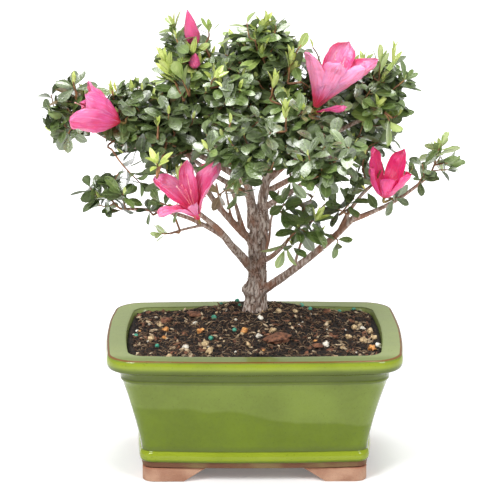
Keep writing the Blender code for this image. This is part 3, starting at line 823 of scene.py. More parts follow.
@dataclass
class Pot:
    """The glazed tray: tapered walls, a bead, a ledge, a cove and a rolled lip, on four feet."""

    half_length: float = 0.1039
    half_depth: float = 0.0762
    bow: float = 0.0028
    rim_height: float = 0.0966
    rim_corner: float = 0.0216
    foot_height: float = 0.0105
    slab_top: float = 0.0148
    bead_top: float = 0.0226
    bead_proud: float = 0.0018
    base_inset: float = 0.024
    base_corner: float = 0.0085
    ledge_height: float = 0.0775
    ledge_inset: float = 0.0102
    ledge_proud: float = 0.0009
    ledge_thickness: float = 0.0018
    groove: float = 0.0006
    lip_foot: float = 0.0868
    lip_inset: float = 0.0018
    body_flare: float = 1.25
    body_steps: int = 12
    rim_width: float = 0.0146
    wall: float = 0.0068
    floor_height: float = 0.018
    drain_radius: float = 0.0075
    drain_spacing: float = 0.078
    inner_rim_corner: float = 0.0125
    inner_floor_corner: float = 0.005
    inner_drops: tuple[float, ...] = (0.006, 0.02)
    unevenness: float = 0.00035
    uneven_length: float = 0.028
    corner_steps: int = 10
    long_steps: int = 24
    short_steps: int = 16
    foot_thickness: float = 0.013
    foot_long: tuple[float, float] = (0.0455, 0.0295)
    foot_short: tuple[float, float] = (0.0335, 0.0235)
    foot_edge: float = 0.0007

    def ring(self, inset: float, height: float, corner: float, unevenness: float = 0.0) -> list[Vector]:
        """A rectangle with round corners and slightly bowed sides.

        Args:
            inset: How far it stands in from the rim's outline.
            height: Its height.
            corner: Its corners' radius.
            unevenness: How far it strays, as a thing made by hand does.

        Returns:
            Its points, in order.
        """
        half_length = self.half_length - inset
        half_depth = self.half_depth - inset
        points = []
        for quarter, (sign_x, sign_y) in enumerate(((1, -1), (1, 1), (-1, 1), (-1, -1))):
            hub_x, hub_y = sign_x * (half_length - corner), sign_y * (half_depth - corner)
            for i in range(self.corner_steps + 1):
                angle = math.radians(90 * (quarter - 1) + 90 * i / self.corner_steps)
                x, y = hub_x + corner * math.cos(angle), hub_y + corner * math.sin(angle)
                points.append(Vector((x, y, height)))
            along_depth = quarter % 2 == 0
            steps = self.short_steps if along_depth else self.long_steps
            reach = (half_depth if along_depth else half_length) - corner
            for i in range(1, steps):
                part = 2 * i / steps - 1
                bow = self.bow * (1 - part * part)
                if along_depth:
                    points.append(Vector((sign_x * (half_length + bow), part * reach * sign_x, height)))
                else:
                    points.append(Vector((-part * reach * sign_y, sign_y * (half_depth + bow), height)))
        for point in points:
            uneven = unevenness * noise.noise(point / self.uneven_length)
            point += Vector((point.x, point.y, 0.0)).normalized() * uneven
        return points

    def down_inside(self, at_rim: float, at_floor: float, height: float) -> float:
        """A size at this height of the inner wall, which goes evenly from the rim's to the floor's."""
        part = (self.rim_height - height) / (self.rim_height - self.floor_height)
        return at_rim + (at_floor - at_rim) * part

    def inner_inset(self, height: float) -> float:
        """How far the inner wall stands in from the rim's outline."""
        return self.down_inside(self.rim_width, self.base_inset + self.wall, height)

    def inner_corner(self, height: float) -> float:
        """The inner wall's corner radius."""
        return self.down_inside(self.inner_rim_corner, self.inner_floor_corner, height)

    def inner_ring(self, height: float, spare: float = 0.0) -> list[Vector]:
        """The inner wall's outline at this height, set in by what is spare."""
        return self.ring(self.inner_inset(height) + spare, height, self.inner_corner(height))

    def outer_corner(self, inset: float) -> float:
        """The outer wall's corner radius, which shrinks as the wall tapers in."""
        return self.base_corner + (self.rim_corner - self.base_corner) * (1 - inset / self.base_inset)

    def outline(self) -> list[Line]:
        """Draw the outer profile, from the underside to the rim.

        Returns:
            Its lines.
        """

        def arc(
            hub: tuple[float, float], radii: tuple[float, float], start: float, end: float, steps: int
        ) -> list[tuple[float, float]]:
            """Part of an oval, as (inset, height) places."""
            angles = [math.radians(start + (end - start) * i / steps) for i in range(steps + 1)]
            return [(hub[0] + radii[0] * math.cos(a), hub[1] + radii[1] * math.sin(a)) for a in angles]

        base = self.base_inset
        lines = [
            Line(base + 0.0012, self.foot_height),
            Line(base, self.foot_height + 0.0008),
            Line(base, self.slab_top - 0.0003),
        ]
        half_bead = (self.bead_top - self.slab_top) / 2
        bulge = arc((base, self.slab_top + half_bead), (-self.bead_proud, half_bead), -80, 80, 8)
        # The bead: lime as painted highlight on its upper part, painted shade on its underside.
        for k, place in enumerate(bulge):
            lines.append(Line(*place, pooled=0.8 if k > 2 else 0.3, deep=0.4 if k < 2 else 0.0))
        body = self.ledge_height - self.bead_top
        # The body's first line, in the groove over the bead, takes painted shade.
        for k in range(self.body_steps + 1):
            part = k / self.body_steps
            inset = base - (base - self.ledge_inset) * part**self.body_flare
            height = self.bead_top + self.groove + (body - 2 * self.groove) * part
            lines.append(Line(inset, height, deep=0.0 if k else 0.6))
        ledge, ledge_top = self.ledge_inset - self.ledge_proud, self.ledge_height + self.ledge_thickness
        # The ledge: painted shade under it and in the groove over it, lime as painted highlight on its face.
        lines += [
            Line(ledge + 0.0003, self.ledge_height - 0.0002, deep=0.6),
            Line(ledge, self.ledge_height + 0.0004, 0.2, 0.2, deep=0.5),
            Line(ledge, ledge_top - 0.0004, 0.3, 0.1, deep=0.3),
            Line(ledge + 0.0003, ledge_top + 0.0002, deep=0.7),
        ]
        cove_foot = ledge_top + self.groove
        cove = (ledge - self.lip_inset, self.lip_foot - cove_foot)
        # The cove under the lip takes painted shade, darker towards the lip.
        for k, place in enumerate(arc((self.lip_inset, cove_foot), cove, 8, 82, 8)):
            lines.append(Line(*place, deep=0.55 + 0.04 * k))
        half_lip = (self.rim_height - self.lip_foot) / 2
        lip = arc((self.lip_inset, self.lip_foot + half_lip), (-self.lip_inset, half_lip), -78, 80, 12)
        # The lip: painted shade on its underside, lime as painted highlight on its front, brown and rim
        # colour along its top.
        for k, place in enumerate(lip):
            pooled = float(np.interp(k, (3, 6, 9, 10), (0.0, 0.7, 0.7, 0.2)))
            deep = float(np.interp(k, (0, 3, 6), (0.9, 0.7, 0.0)))
            broken, rim = (1.0, 0.3) if k >= 11 else (0.0, 0.0)
            lines.append(Line(*place, pooled, broken, rim, deep))
        return lines + [
            Line(self.lip_inset + 0.0005, self.rim_height - 0.00002, broken=0.9, rim=1.0),
            Line(self.lip_inset + 0.0014, self.rim_height, rim=1.0),
            Line(self.rim_width * 0.55, self.rim_height - 0.0001, rim=1.0),
            Line(self.rim_width - 0.0016, self.rim_height - 0.0001, rim=1.0),
        ]

    def build_tray(self) -> bpy.types.Object:
        """Build the tray as one closed wall, drilled for its drain holes.

        Returns:
            The object.
        """
        rings, marks = [], []
        for line in self.outline():
            corner = self.inner_corner(self.rim_height) + 0.002
            if line.inset < self.rim_width * 0.5 or line.height < self.lip_foot:
                corner = self.outer_corner(line.inset)
            uneven = 0.0 if line.height < self.slab_top else self.unevenness
            rings.append(self.ring(line.inset, line.height, corner, uneven))
            marks.append(line[2:])
        for shift, drop, broken in ((0.0, 0.0002, 0.5), (0.0004, 0.0008, 0.3), (0.0, 0.0016, 0.0)):
            rings.append(self.inner_ring(self.rim_height - drop, -shift))
            marks.append((0.2, broken, 0.7, 0.0))
        for height in (*(self.rim_height - drop for drop in self.inner_drops), self.floor_height):
            rings.append(self.inner_ring(height))
            marks.append((0.3, 0.0, 0.3, 0.0))
        count = len(rings[0])
        points = np.array([tuple(p) for ring in rings for p in ring])
        faces = ring_quads(len(rings), count)
        faces.append(list(range(count))[::-1])
        faces.append(list(range(len(points) - count, len(points))))
        table = np.repeat(np.array(marks), count, axis=0)
        named = {name: table[:, k] for k, name in enumerate(Line._fields[2:])}
        tray = mesh_object("pot_tray", points, faces, named)
        for side in (-1, 1):
            deselect()
            bpy.ops.mesh.primitive_cylinder_add(
                vertices=32,
                radius=self.drain_radius,
                depth=4 * (self.floor_height - self.foot_height),
                location=(side * self.drain_spacing / 2, 0.0, self.floor_height),
            )
            drill = bpy.context.object
            apply_modifier(tray, "BOOLEAN", {"operation": "DIFFERENCE", "solver": "EXACT", "object": drill})
            bpy.data.objects.remove(drill)
        return smooth(tray, 50)

    def build_foot(self, sign_x: int, sign_y: int) -> bpy.types.Object:
        """One L-shaped bracket foot: a block, its short leg drawn out, its inner ends slanted.

        Args:
            sign_x: 1 for a foot at the right, -1 at the left.
            sign_y: 1 for a foot at the back, -1 at the front.

        Returns:
            The foot, shaded.
        """
        corner_x = self.half_length - self.base_inset
        corner_y = self.half_depth - self.base_inset
        long, short, top = self.foot_long[0], self.foot_short[0], self.foot_height - GAP
        near = 1e-5
        deselect()
        bpy.ops.mesh.primitive_cube_add(size=1.0)
        foot = bpy.context.object
        foot.scale = (long, self.foot_thickness, top)
        foot.location = (corner_x - long / 2, corner_y - self.foot_thickness / 2, top / 2)
        settle(foot)
        bpy.ops.object.mode_set(mode="EDIT")
        bpy.ops.mesh.select_all(action="SELECT")
        leg_side = corner_x - self.foot_thickness
        bpy.ops.mesh.bisect(plane_co=(leg_side, 0.0, 0.0), plane_no=(1.0, 0.0, 0.0))
        inner_y = corner_y - self.foot_thickness + near
        pick(foot, "FACE", lambda v: v.y < inner_y and v.x > leg_side - near)
        draw_out = {"value": (0.0, self.foot_thickness - short, 0.0)}
        bpy.ops.mesh.extrude_region_move(TRANSFORM_OT_translate=draw_out)
        pick(foot, "VERT", lambda v: v.z < near and v.x < corner_x - long + near)
        bpy.ops.transform.translate(value=(long - self.foot_long[1], 0.0, 0.0))
        pick(foot, "VERT", lambda v: v.z < near and v.y < corner_y - short + near)
        bpy.ops.transform.translate(value=(0.0, short - self.foot_short[1], 0.0))
        pick(foot, "EDGE", lambda v: v.x > corner_x - near and v.y > corner_y - near)
        bpy.ops.mesh.bevel(offset=self.base_corner, segments=8, affect="EDGES")
        bpy.ops.object.mode_set(mode="OBJECT")
        apply_modifier(foot, "BEVEL", {"width": self.foot_edge, "segments": 3, "limit_method": "ANGLE"})
        move_points(foot, read_rows(foot.data.vertices, "co") * np.array((sign_x, sign_y, 1.0)))
        if sign_x * sign_y < 0:
            foot.data.flip_normals()
        return smooth(foot, 40)

    def build(self) -> None:
        """Build and dress the tray and the feet."""
        add_piece(self.build_tray(), GlazeFinish().make(), ["pot"])
        clay = ClayFinish().make()
        for side, sign_x in (("left", -1), ("right", 1)):
            for end, sign_y in (("front", -1), ("back", 1)):
                foot = self.build_foot(sign_x, sign_y)
                foot.name = f"clay_foot_{end}_{side}"
                add_piece(foot, clay, [f"foot_{end}_{side}"])


# Soil


class Grit(Enum):
    """What lies on the soil."""

    CRUMB = "crumb"
    CHIP = "bark_chip"
    HUSK = "pale_husk"
    PEBBLE = "pebble"
    ORANGE = "orange_pebble"
    WHITE = "white_grit"
    PELLET = "feed_pellet"


class Stone(NamedTuple):
    """A larger thing on the soil, placed one by one: where, how large, and its turn."""

    x: float
    y: float
    radius: float
    turn: float = 0.0


STONES = (
    (Grit.CHIP, (Stone(0.017, -0.024, 0.0092, 0.15), Stone(-0.043, 0.033, 0.0062, 2.4))),
    (Grit.PEBBLE, (Stone(-0.002, 0.042, 0.003), Stone(0.013, -0.006, 0.0026))),
    (Grit.ORANGE, (
        Stone(-0.039, -0.002, 0.0026), Stone(-0.007, -0.007, 0.0027), Stone(-0.064, 0.007, 0.0025),
        Stone(0.083, -0.038, 0.003),
    )),
    (Grit.PEBBLE, (
        Stone(0.073, 0.012, 0.0024), Stone(0.084, 0.003, 0.0025), Stone(-0.035, -0.029, 0.0032),
        Stone(-0.032, -0.046, 0.003), Stone(0.078, -0.018, 0.003), Stone(0.086, -0.012, 0.0026),
        Stone(0.068, -0.01, 0.0025), Stone(-0.074, -0.015, 0.0027),
    )),
    (Grit.CHIP, (Stone(-0.064, 0.03, 0.005, 0.9), Stone(0.045, -0.033, 0.0046, 2.0))),
    (Grit.WHITE, (
        Stone(-0.043, 0.016, 0.0019), Stone(-0.049, -0.032, 0.0024), Stone(0.003, -0.015, 0.0022),
        Stone(0.005, 0.011, 0.0021), Stone(0.051, -0.029, 0.0026), Stone(0.079, 0.012, 0.0021),
        Stone(0.088, -0.03, 0.0022),
    )),
    (Grit.PELLET, (
        Stone(-0.085, -0.003, 0.0016), Stone(-0.029, 0.02, 0.0021), Stone(-0.031, -0.016, 0.0019),
        Stone(-0.069, -0.031, 0.0017), Stone(-0.014, -0.005, 0.0018), Stone(-0.012, 0.06, 0.0019),
        Stone(-0.01, 0.042, 0.0016), Stone(-0.024, 0.056, 0.0016), Stone(0.036, 0.058, 0.0018),
        Stone(0.042, 0.048, 0.0018), Stone(0.064, 0.054, 0.0016), Stone(0.075, 0.059, 0.0018),
    )),
)

GRIT_FINISHES = {
    Grit.CRUMB: EarthFinish("soil_crumb", tint(14, 10, 8), tint(94, 68, 50)),
    Grit.CHIP: GritFinish("bark_chip", tint(70, 42, 30), tint(146, 98, 72), 0.8, 420.0),
    Grit.HUSK: GritFinish("pale_husk", tint(120, 96, 68), tint(222, 200, 166), 0.75, 380.0),
    Grit.PEBBLE: GritFinish("tan_pebble", tint(140, 110, 74), tint(232, 206, 160), 0.55),
    Grit.ORANGE: GritFinish("orange_pebble", tint(176, 104, 46), tint(226, 168, 96), 0.5),
    Grit.WHITE: GritFinish("white_grit", tint(196, 186, 168), tint(244, 240, 228), 0.75),
    Grit.PELLET: GritFinish("feed_pellet", tint(28, 112, 88), tint(84, 176, 150), 0.35),
}


@dataclass
class SoilBed:
    """The soil: a lumpy surface with crumbs, fibres, chips, pebbles and feed pellets on it."""

    pot: Pot
    edge_height: float = 0.0932
    mound_x: float = 0.0008
    mound_y: float = 0.035
    patch: float = 0.0125
    spread: float = 0.034
    ripple: float = 0.0011
    ripple_length: float = 0.011
    bed_rings: int = 58
    lump: float = 0.0015
    lump_lengths: tuple[float, float] = (0.003, 0.0014)
    trunk_room: float = 0.009
    crumbs: int = 3800
    crumb_sizes: tuple[float, float] = (0.0008, 0.003)
    flake_sizes: tuple[float, float] = (0.0018, 0.0058)
    flakes: tuple[tuple[Grit, int], ...] = ((Grit.CHIP, 150), (Grit.HUSK, 170))
    pebbles: tuple[tuple[Grit, int, float, float], ...] = (
        (Grit.PEBBLE, 26, 0.001, 0.0026), (Grit.ORANGE, 4, 0.001, 0.002), (Grit.WHITE, 20, 0.0006, 0.0014),
    )
    fibres: int = 1100
    fibre_parts: int = 4
    fibre_lengths: tuple[float, float] = (0.002, 0.008)
    fibre_radii: tuple[float, float] = (0.00008, 0.0002)
    fibre_arches: tuple[float, float] = (0.0002, 0.0016)
    fibre_height: float = 0.0006
    fibre_curl: float = 1.6
    draw: random.Random = field(default_factory=lambda: random.Random("soil"))

    def height(self, x: float, y: float) -> float:
        """Find the soil's surface: low at the walls, mounded round the trunk.

        Args:
            x: The place's x.
            y: The place's y.

        Returns:
            Its height.
        """
        away = max(0.0, math.hypot(x - self.mound_x, y - self.mound_y) - self.patch)
        mound = (GROUND_HEIGHT - GAP - self.edge_height) * math.exp(-((away / self.spread) ** 2))
        ripple = self.ripple * noise.noise(Vector((x, y, 0.0)) / self.ripple_length) * min(1.0, away / 0.01)
        return self.edge_height + mound + ripple

    def half_sizes(self) -> tuple[float, float, float]:
        """Measure the bed at its surface.

        Returns:
            Its half length, half depth and corner radius.
        """
        inset = self.pot.inner_inset(self.edge_height) + 1.25 * GAP
        corner = self.pot.inner_corner(self.edge_height)
        return self.pot.half_length - inset, self.pot.half_depth - inset, corner

    def inside(self, x: float, y: float, spare: float) -> bool:
        """Find out whether a place is on the bed.

        Args:
            x: The place's x.
            y: The place's y.
            spare: The room it needs to the edge.

        Returns:
            True where it is.
        """
        half_length, half_depth, corner = self.half_sizes()
        over_x = max(0.0, abs(x) - (half_length - corner))
        over_y = max(0.0, abs(y) - (half_depth - corner))
        return math.hypot(over_x, over_y) < corner - spare

    def build_bed(self) -> bpy.types.Object:
        """Build the soil's body: a fine lumpy top, with walls down to the pot's floor.

        Returns:
            The object.
        """
        floor, edge = self.pot.floor_height + GAP, self.edge_height - 0.0006
        levels = (floor, self.pot.rim_height - self.pot.inner_drops[-1], edge)
        rings = [self.pot.inner_ring(level, 1.25 * GAP) for level in levels]
        rim = rings[-1]
        hub = Vector((self.mound_x, self.mound_y, 0.0))
        coarse, fine = self.lump_lengths
        for k in range(1, self.bed_rings):
            row = []
            for point in rim:
                flat = Vector((point.x, point.y, 0.0)).lerp(hub, k / self.bed_rings)
                lumps = self.lump * (noise.noise(flat / coarse) + 0.7 * noise.noise(flat / fine))
                row.append(Vector((flat.x, flat.y, self.height(flat.x, flat.y) + lumps)))
            rings.append(row)
        count = len(rim)
        points = [tuple(p) for ring in rings for p in ring] + [(hub.x, hub.y, GROUND_HEIGHT)]
        faces = ring_quads(len(rings), count)
        last = (len(rings) - 1) * count
        faces += [[last + i, last + (i + 1) % count, len(points) - 1] for i in range(count)]
        faces.append(list(range(count))[::-1])
        return mesh_object("soil_bed", np.array(points), faces)

    def lump_shape(self, subdivisions: int) -> Shape:
        """Make a round lump of one metre across, modelled once and copied.

        Args:
            subdivisions: How fine it is.

        Returns:
            Its points and its triangles.
        """
        deselect()
        bpy.ops.mesh.primitive_ico_sphere_add(subdivisions=subdivisions, radius=0.5)
        ball = bpy.context.object
        points = read_rows(ball.data.vertices, "co")
        faces = np.array([list(face.vertices) for face in ball.data.polygons])
        bpy.data.objects.remove(ball)
        return points, faces

    def lay(
        self, batch: Batch, shape: Shape, place: tuple[float, float], sizes: Place, sunk: float,
        rough: float, turn: float | None = None, tilt: float = 0.5,
    ) -> None:
        """Lay one lump on the soil.

        Args:
            batch: Where the lump goes.
            shape: The round lump it is made from.
            place: Where it lies, as (x, y).
            sizes: Its length, width and thickness.
            sunk: The share of its thickness that is under the surface.
            rough: How far it strays from an oval.
            turn: Its turn, or None for any.
            tilt: How far it leans at most, in radians.
        """
        points, faces = shape
        seed = Vector((self.draw.uniform(0, 99), self.draw.uniform(0, 99), 0.0))
        swell = np.array([1 + rough * noise.noise(Vector(p) * 3.1 + seed) for p in points])
        spin = self.draw.uniform(0, math.tau) if turn is None else turn
        lean = (self.draw.uniform(-tilt, tilt), self.draw.uniform(-tilt, tilt), spin)
        facing = np.array(Euler(lean).to_matrix())
        centre = np.array((*place, self.height(*place) + sizes[2] * (0.5 - sunk)))
        batch.add((points * swell[:, None] * np.array(sizes)) @ facing.T + centre, faces)

    def anywhere(self, spare: float) -> tuple[float, float]:
        """Draw a place on the bed, away from its edge and from the trunk.

        Args:
            spare: The room it needs to the edge.

        Returns:
            Its x and y.
        """
        half_length, half_depth, _ = self.half_sizes()
        while True:
            x = self.draw.uniform(-half_length, half_length)
            y = self.draw.uniform(-half_depth, half_depth)
            off_trunk = math.hypot(x - self.mound_x, y - self.mound_y) > self.trunk_room
            if off_trunk and self.inside(x, y, spare):
                return x, y

    def scatter(self) -> dict[Grit, Batch]:
        """Lay all that lies on the soil.

        Returns:
            A batch for each kind.
        """
        batches = {kind: Batch() for kind in Grit}
        small, middling, ball = (self.lump_shape(subdivisions) for subdivisions in (1, 2, 3))
        uniform = self.draw.uniform
        for _ in range(self.crumbs):
            size = uniform(*self.crumb_sizes) * uniform(0.6, 1.25)
            sizes = (size, size * uniform(0.5, 1.0), size * uniform(0.4, 0.8))
            self.lay(batches[Grit.CRUMB], small, self.anywhere(size / 2), sizes, 0.25, 0.7)
        for kind, count in self.flakes:
            for _ in range(count):
                size = uniform(*self.flake_sizes)
                sizes = (size, size * uniform(0.3, 0.7), size * 0.2)
                self.lay(batches[kind], middling, self.anywhere(size / 2), sizes, -0.2, 1.1, tilt=0.8)
        for kind, count, low, high in self.pebbles:
            for _ in range(count):
                size = 2 * uniform(low, high)
                sizes = (size, size * uniform(0.6, 0.95), size * 0.65)
                self.lay(batches[kind], middling, self.anywhere(size / 2), sizes, 0.2, 0.75)
        for kind, stones in STONES:
            for stone in stones:
                self.lay_stone(batches[kind], kind, stone, middling, ball)
        return batches

    def lay_stone(self, batch: Batch, kind: Grit, stone: Stone, lump: Shape, ball: Shape) -> None:
        """Lay one of the larger things where it belongs: a pellet from the lump, others from the ball.

        Args:
            batch: Where it goes.
            kind: Its kind.
            stone: Its place and size.
            lump: The shape of a pellet.
            ball: The shape of the others.
        """
        size = 2 * stone.radius
        place = (stone.x, stone.y)
        if kind is Grit.CHIP:
            self.lay(batch, ball, place, (size, size * 0.72, size * 0.3), -0.1, 0.5, stone.turn, 0.2)
        elif kind is Grit.PELLET:
            self.lay(batch, lump, place, (size, size * 0.95, size * 0.9), 0.1, 0.06)
        else:
            self.lay(batch, ball, place, (size, size * 0.8, size * 0.72), 0.15, 0.8)

    def build_fibres(self) -> bpy.types.Object:
        """Build thin curved fibres that lie over the soil.

        Returns:
            The object.
        """
        batch = Batch()
        parts = self.fibre_parts
        for _ in range(self.fibres):
            x, y = self.anywhere(0.002)
            length = self.draw.uniform(*self.fibre_lengths)
            heading = self.draw.uniform(0, math.tau)
            curl = self.draw.uniform(-self.fibre_curl, self.fibre_curl)
            arch = self.draw.uniform(*self.fibre_arches)
            path = []
            for k in range(parts + 1):
                above = arch * math.sin(math.pi * (k / parts))
                path.append((x, y, self.height(x, y) + self.fibre_height + above))
                heading += curl / parts
                x += math.cos(heading) * length / parts
                y += math.sin(heading) * length / parts
            if all(self.inside(px, py, 0.0008) for px, py, _ in path):
                radius = self.draw.uniform(*self.fibre_radii)
                batch.add(*tube(np.array(path), np.full(parts + 1, radius), 3))
        return batch.build("soil_fibres")

    def build(self) -> None:
        """Build and dress the soil and all that lies on it."""
        add_piece(self.build_bed(), EarthFinish().make(), ["soil"])
        for kind, batch in self.scatter().items():
            add_piece(batch.build(f"{kind.value}s"), GRIT_FINISHES[kind].make(), ["soil"])
        fibre = GritFinish("root_fibre", tint(84, 58, 42), tint(188, 156, 120), 0.8, 150.0)
        add_piece(self.build_fibres(), fibre.make(), ["soil"])


# Trunk and boughs


@dataclass(frozen=True)
class Bough:
    """A limb: its parent, how far along that it leaves, where it ends, and its taper and bends."""

    name: str
    parent: str
    leaves_at: float
    tip: Place
    base_radius: float
    tip_radius: float
    arch: float = 0.0
    swing: float = 0.0
    shift: float = 0.0


BOUGHS = (
    Bough("leader_right", "trunk", 0.9, (0.015, 0.02, 0.26), 0.0046, 0.0017, 0.0, 0.003, 0.0036),
    Bough("leader_left", "trunk", 0.91, (-0.015, 0.008, 0.25), 0.0042, 0.0016, 0.0, -0.002, -0.004),
    Bough("bough_right_low", "trunk", 0.16, (0.074, -0.002, 0.184), 0.0036, 0.0021, -0.003, 0.002),
    Bough("bough_right_tip", "bough_right_low", 0.93, (0.119, -0.006, 0.208), 0.0019, 0.0012, -0.003),
    Bough("bough_right_mid", "bough_right_low", 0.8, (0.082, -0.012, 0.206), 0.0017, 0.0012, 0.003),
    Bough("bough_centre_low", "trunk", 0.52, (0.024, -0.001, 0.164), 0.0025, 0.0013, -0.003),
    Bough("bough_left_low", "trunk", 0.4, (-0.044, -0.03, 0.195), 0.0041, 0.0015, 0.002, 0.002),
    Bough("bough_left_far", "bough_left_low", 0.52, (-0.088, -0.012, 0.19), 0.0019, 0.0012, 0.006),
    Bough("bough_left_mid", "trunk", 0.7, (-0.048, 0.0, 0.23), 0.0032, 0.0014, -0.006),
    Bough("bough_left_high", "leader_left", 0.42, (-0.082, 0.006, 0.24), 0.0026, 0.0016, 0.004),
    Bough("bough_left_tip", "bough_left_high", 0.72, (-0.115, 0.006, 0.244), 0.0017, 0.0012, -0.007),
    Bough("bough_top_left", "leader_left", 0.62, (-0.04, 0.01, 0.266), 0.0022, 0.0013, 0.001),
    Bough("bough_front", "leader_left", 0.22, (-0.009, -0.048, 0.231), 0.0024, 0.0013, -0.003),
    Bough("bough_centre", "leader_right", 0.56, (0.023, -0.008, 0.244), 0.0018, 0.0012),
    Bough("bough_right_front", "leader_right", 0.15, (0.042, -0.04, 0.224), 0.0026, 0.0013, -0.002, 0.002),
    Bough("bough_right_high", "leader_right", 0.38, (0.076, 0.008, 0.25), 0.0025, 0.0014, 0.003),
    Bough("bough_top_right", "leader_right", 0.74, (0.042, 0.006, 0.262), 0.0021, 0.0013, 0.001),
    Bough("bough_back_left", "leader_left", 0.3, (-0.06, 0.06, 0.222), 0.0024, 0.0013, -0.002),
    Bough("bough_back", "leader_right", 0.5, (0.002, 0.064, 0.228), 0.0022, 0.0013, -0.002),
    Bough("bough_back_right", "leader_right", 0.28, (0.06, 0.06, 0.218), 0.0024, 0.0013, -0.002),
    Bough("bough_back_top", "leader_right", 0.86, (0.006, 0.044, 0.27), 0.0014, 0.0011),
)


@dataclass
class LimbPath:
    """The middle line of a limb and its radius at each point."""

    centres: list[Vector]
    radii: list[float]

    def place(self, part: float) -> Vector:
        """Find a point on the path.

        Args:
            part: How far along it is, from 0 to 1.

        Returns:
            The point.
        """
        at = part * (len(self.centres) - 1)
        i = min(int(at), len(self.centres) - 2)
        return self.centres[i].lerp(self.centres[i + 1], at - i)

    def end_direction(self) -> Vector:
        """The way the limb points at its tip."""
        return (self.centres[-1] - self.centres[-2]).normalized()

    def fine(self, step: float) -> tuple[Array, Array]:
        """Cut the same path into short steps.

        Args:
            step: The length of a step.

        Returns:
            Its points and the radius at each.
        """
        path = curve_through(self.centres, step)
        knots = np.array([tuple(c) for c in self.centres])
        at = [0.0]
        for a, b in zip(knots, knots[1:]):
            at.append(at[-1] + float(np.linalg.norm(b - a)))
        along = np.concatenate([[0.0], np.cumsum(np.linalg.norm(np.diff(path, axis=0), axis=1))])
        along *= at[-1] / along[-1]
        return path, np.interp(along, at, self.radii)


class Segments:
    """Straight stretches of many limbs, for measuring how near a point comes."""

    def __init__(self, paths: Iterable[LimbPath]) -> None:
        """Cut the paths into straight stretches.

        Args:
            paths: The paths.
        """
        rows = []
        for path in paths:
            for a, b, radius in zip(path.centres, path.centres[1:], path.radii):
                rows.append((*a, *b, radius))
        table = np.array(rows)
        self.starts = table[:, :3]
        self.along = table[:, 3:6] - self.starts
        self.squares = (self.along**2).sum(1)
        self.radii = table[:, 6]

    def measure(self, points: Array) -> tuple[Array, Array, Array]:
        """Measure from points to the nearest stretch.

        Args:
            points: The points, one row each.

        Returns:
            For each point: the nearest stretch, how far along it, and the distance from its surface.
        """
        offset = points[:, None] - self.starts[None]
        part = np.clip((offset * self.along[None]).sum(2) / self.squares[None], 0, 1)
        away = np.linalg.norm(offset - part[..., None] * self.along[None], axis=2) - self.radii[None]
        nearest = away.argmin(1)
        rows = np.arange(len(points))
        return nearest, part[rows, nearest], away[rows, nearest]


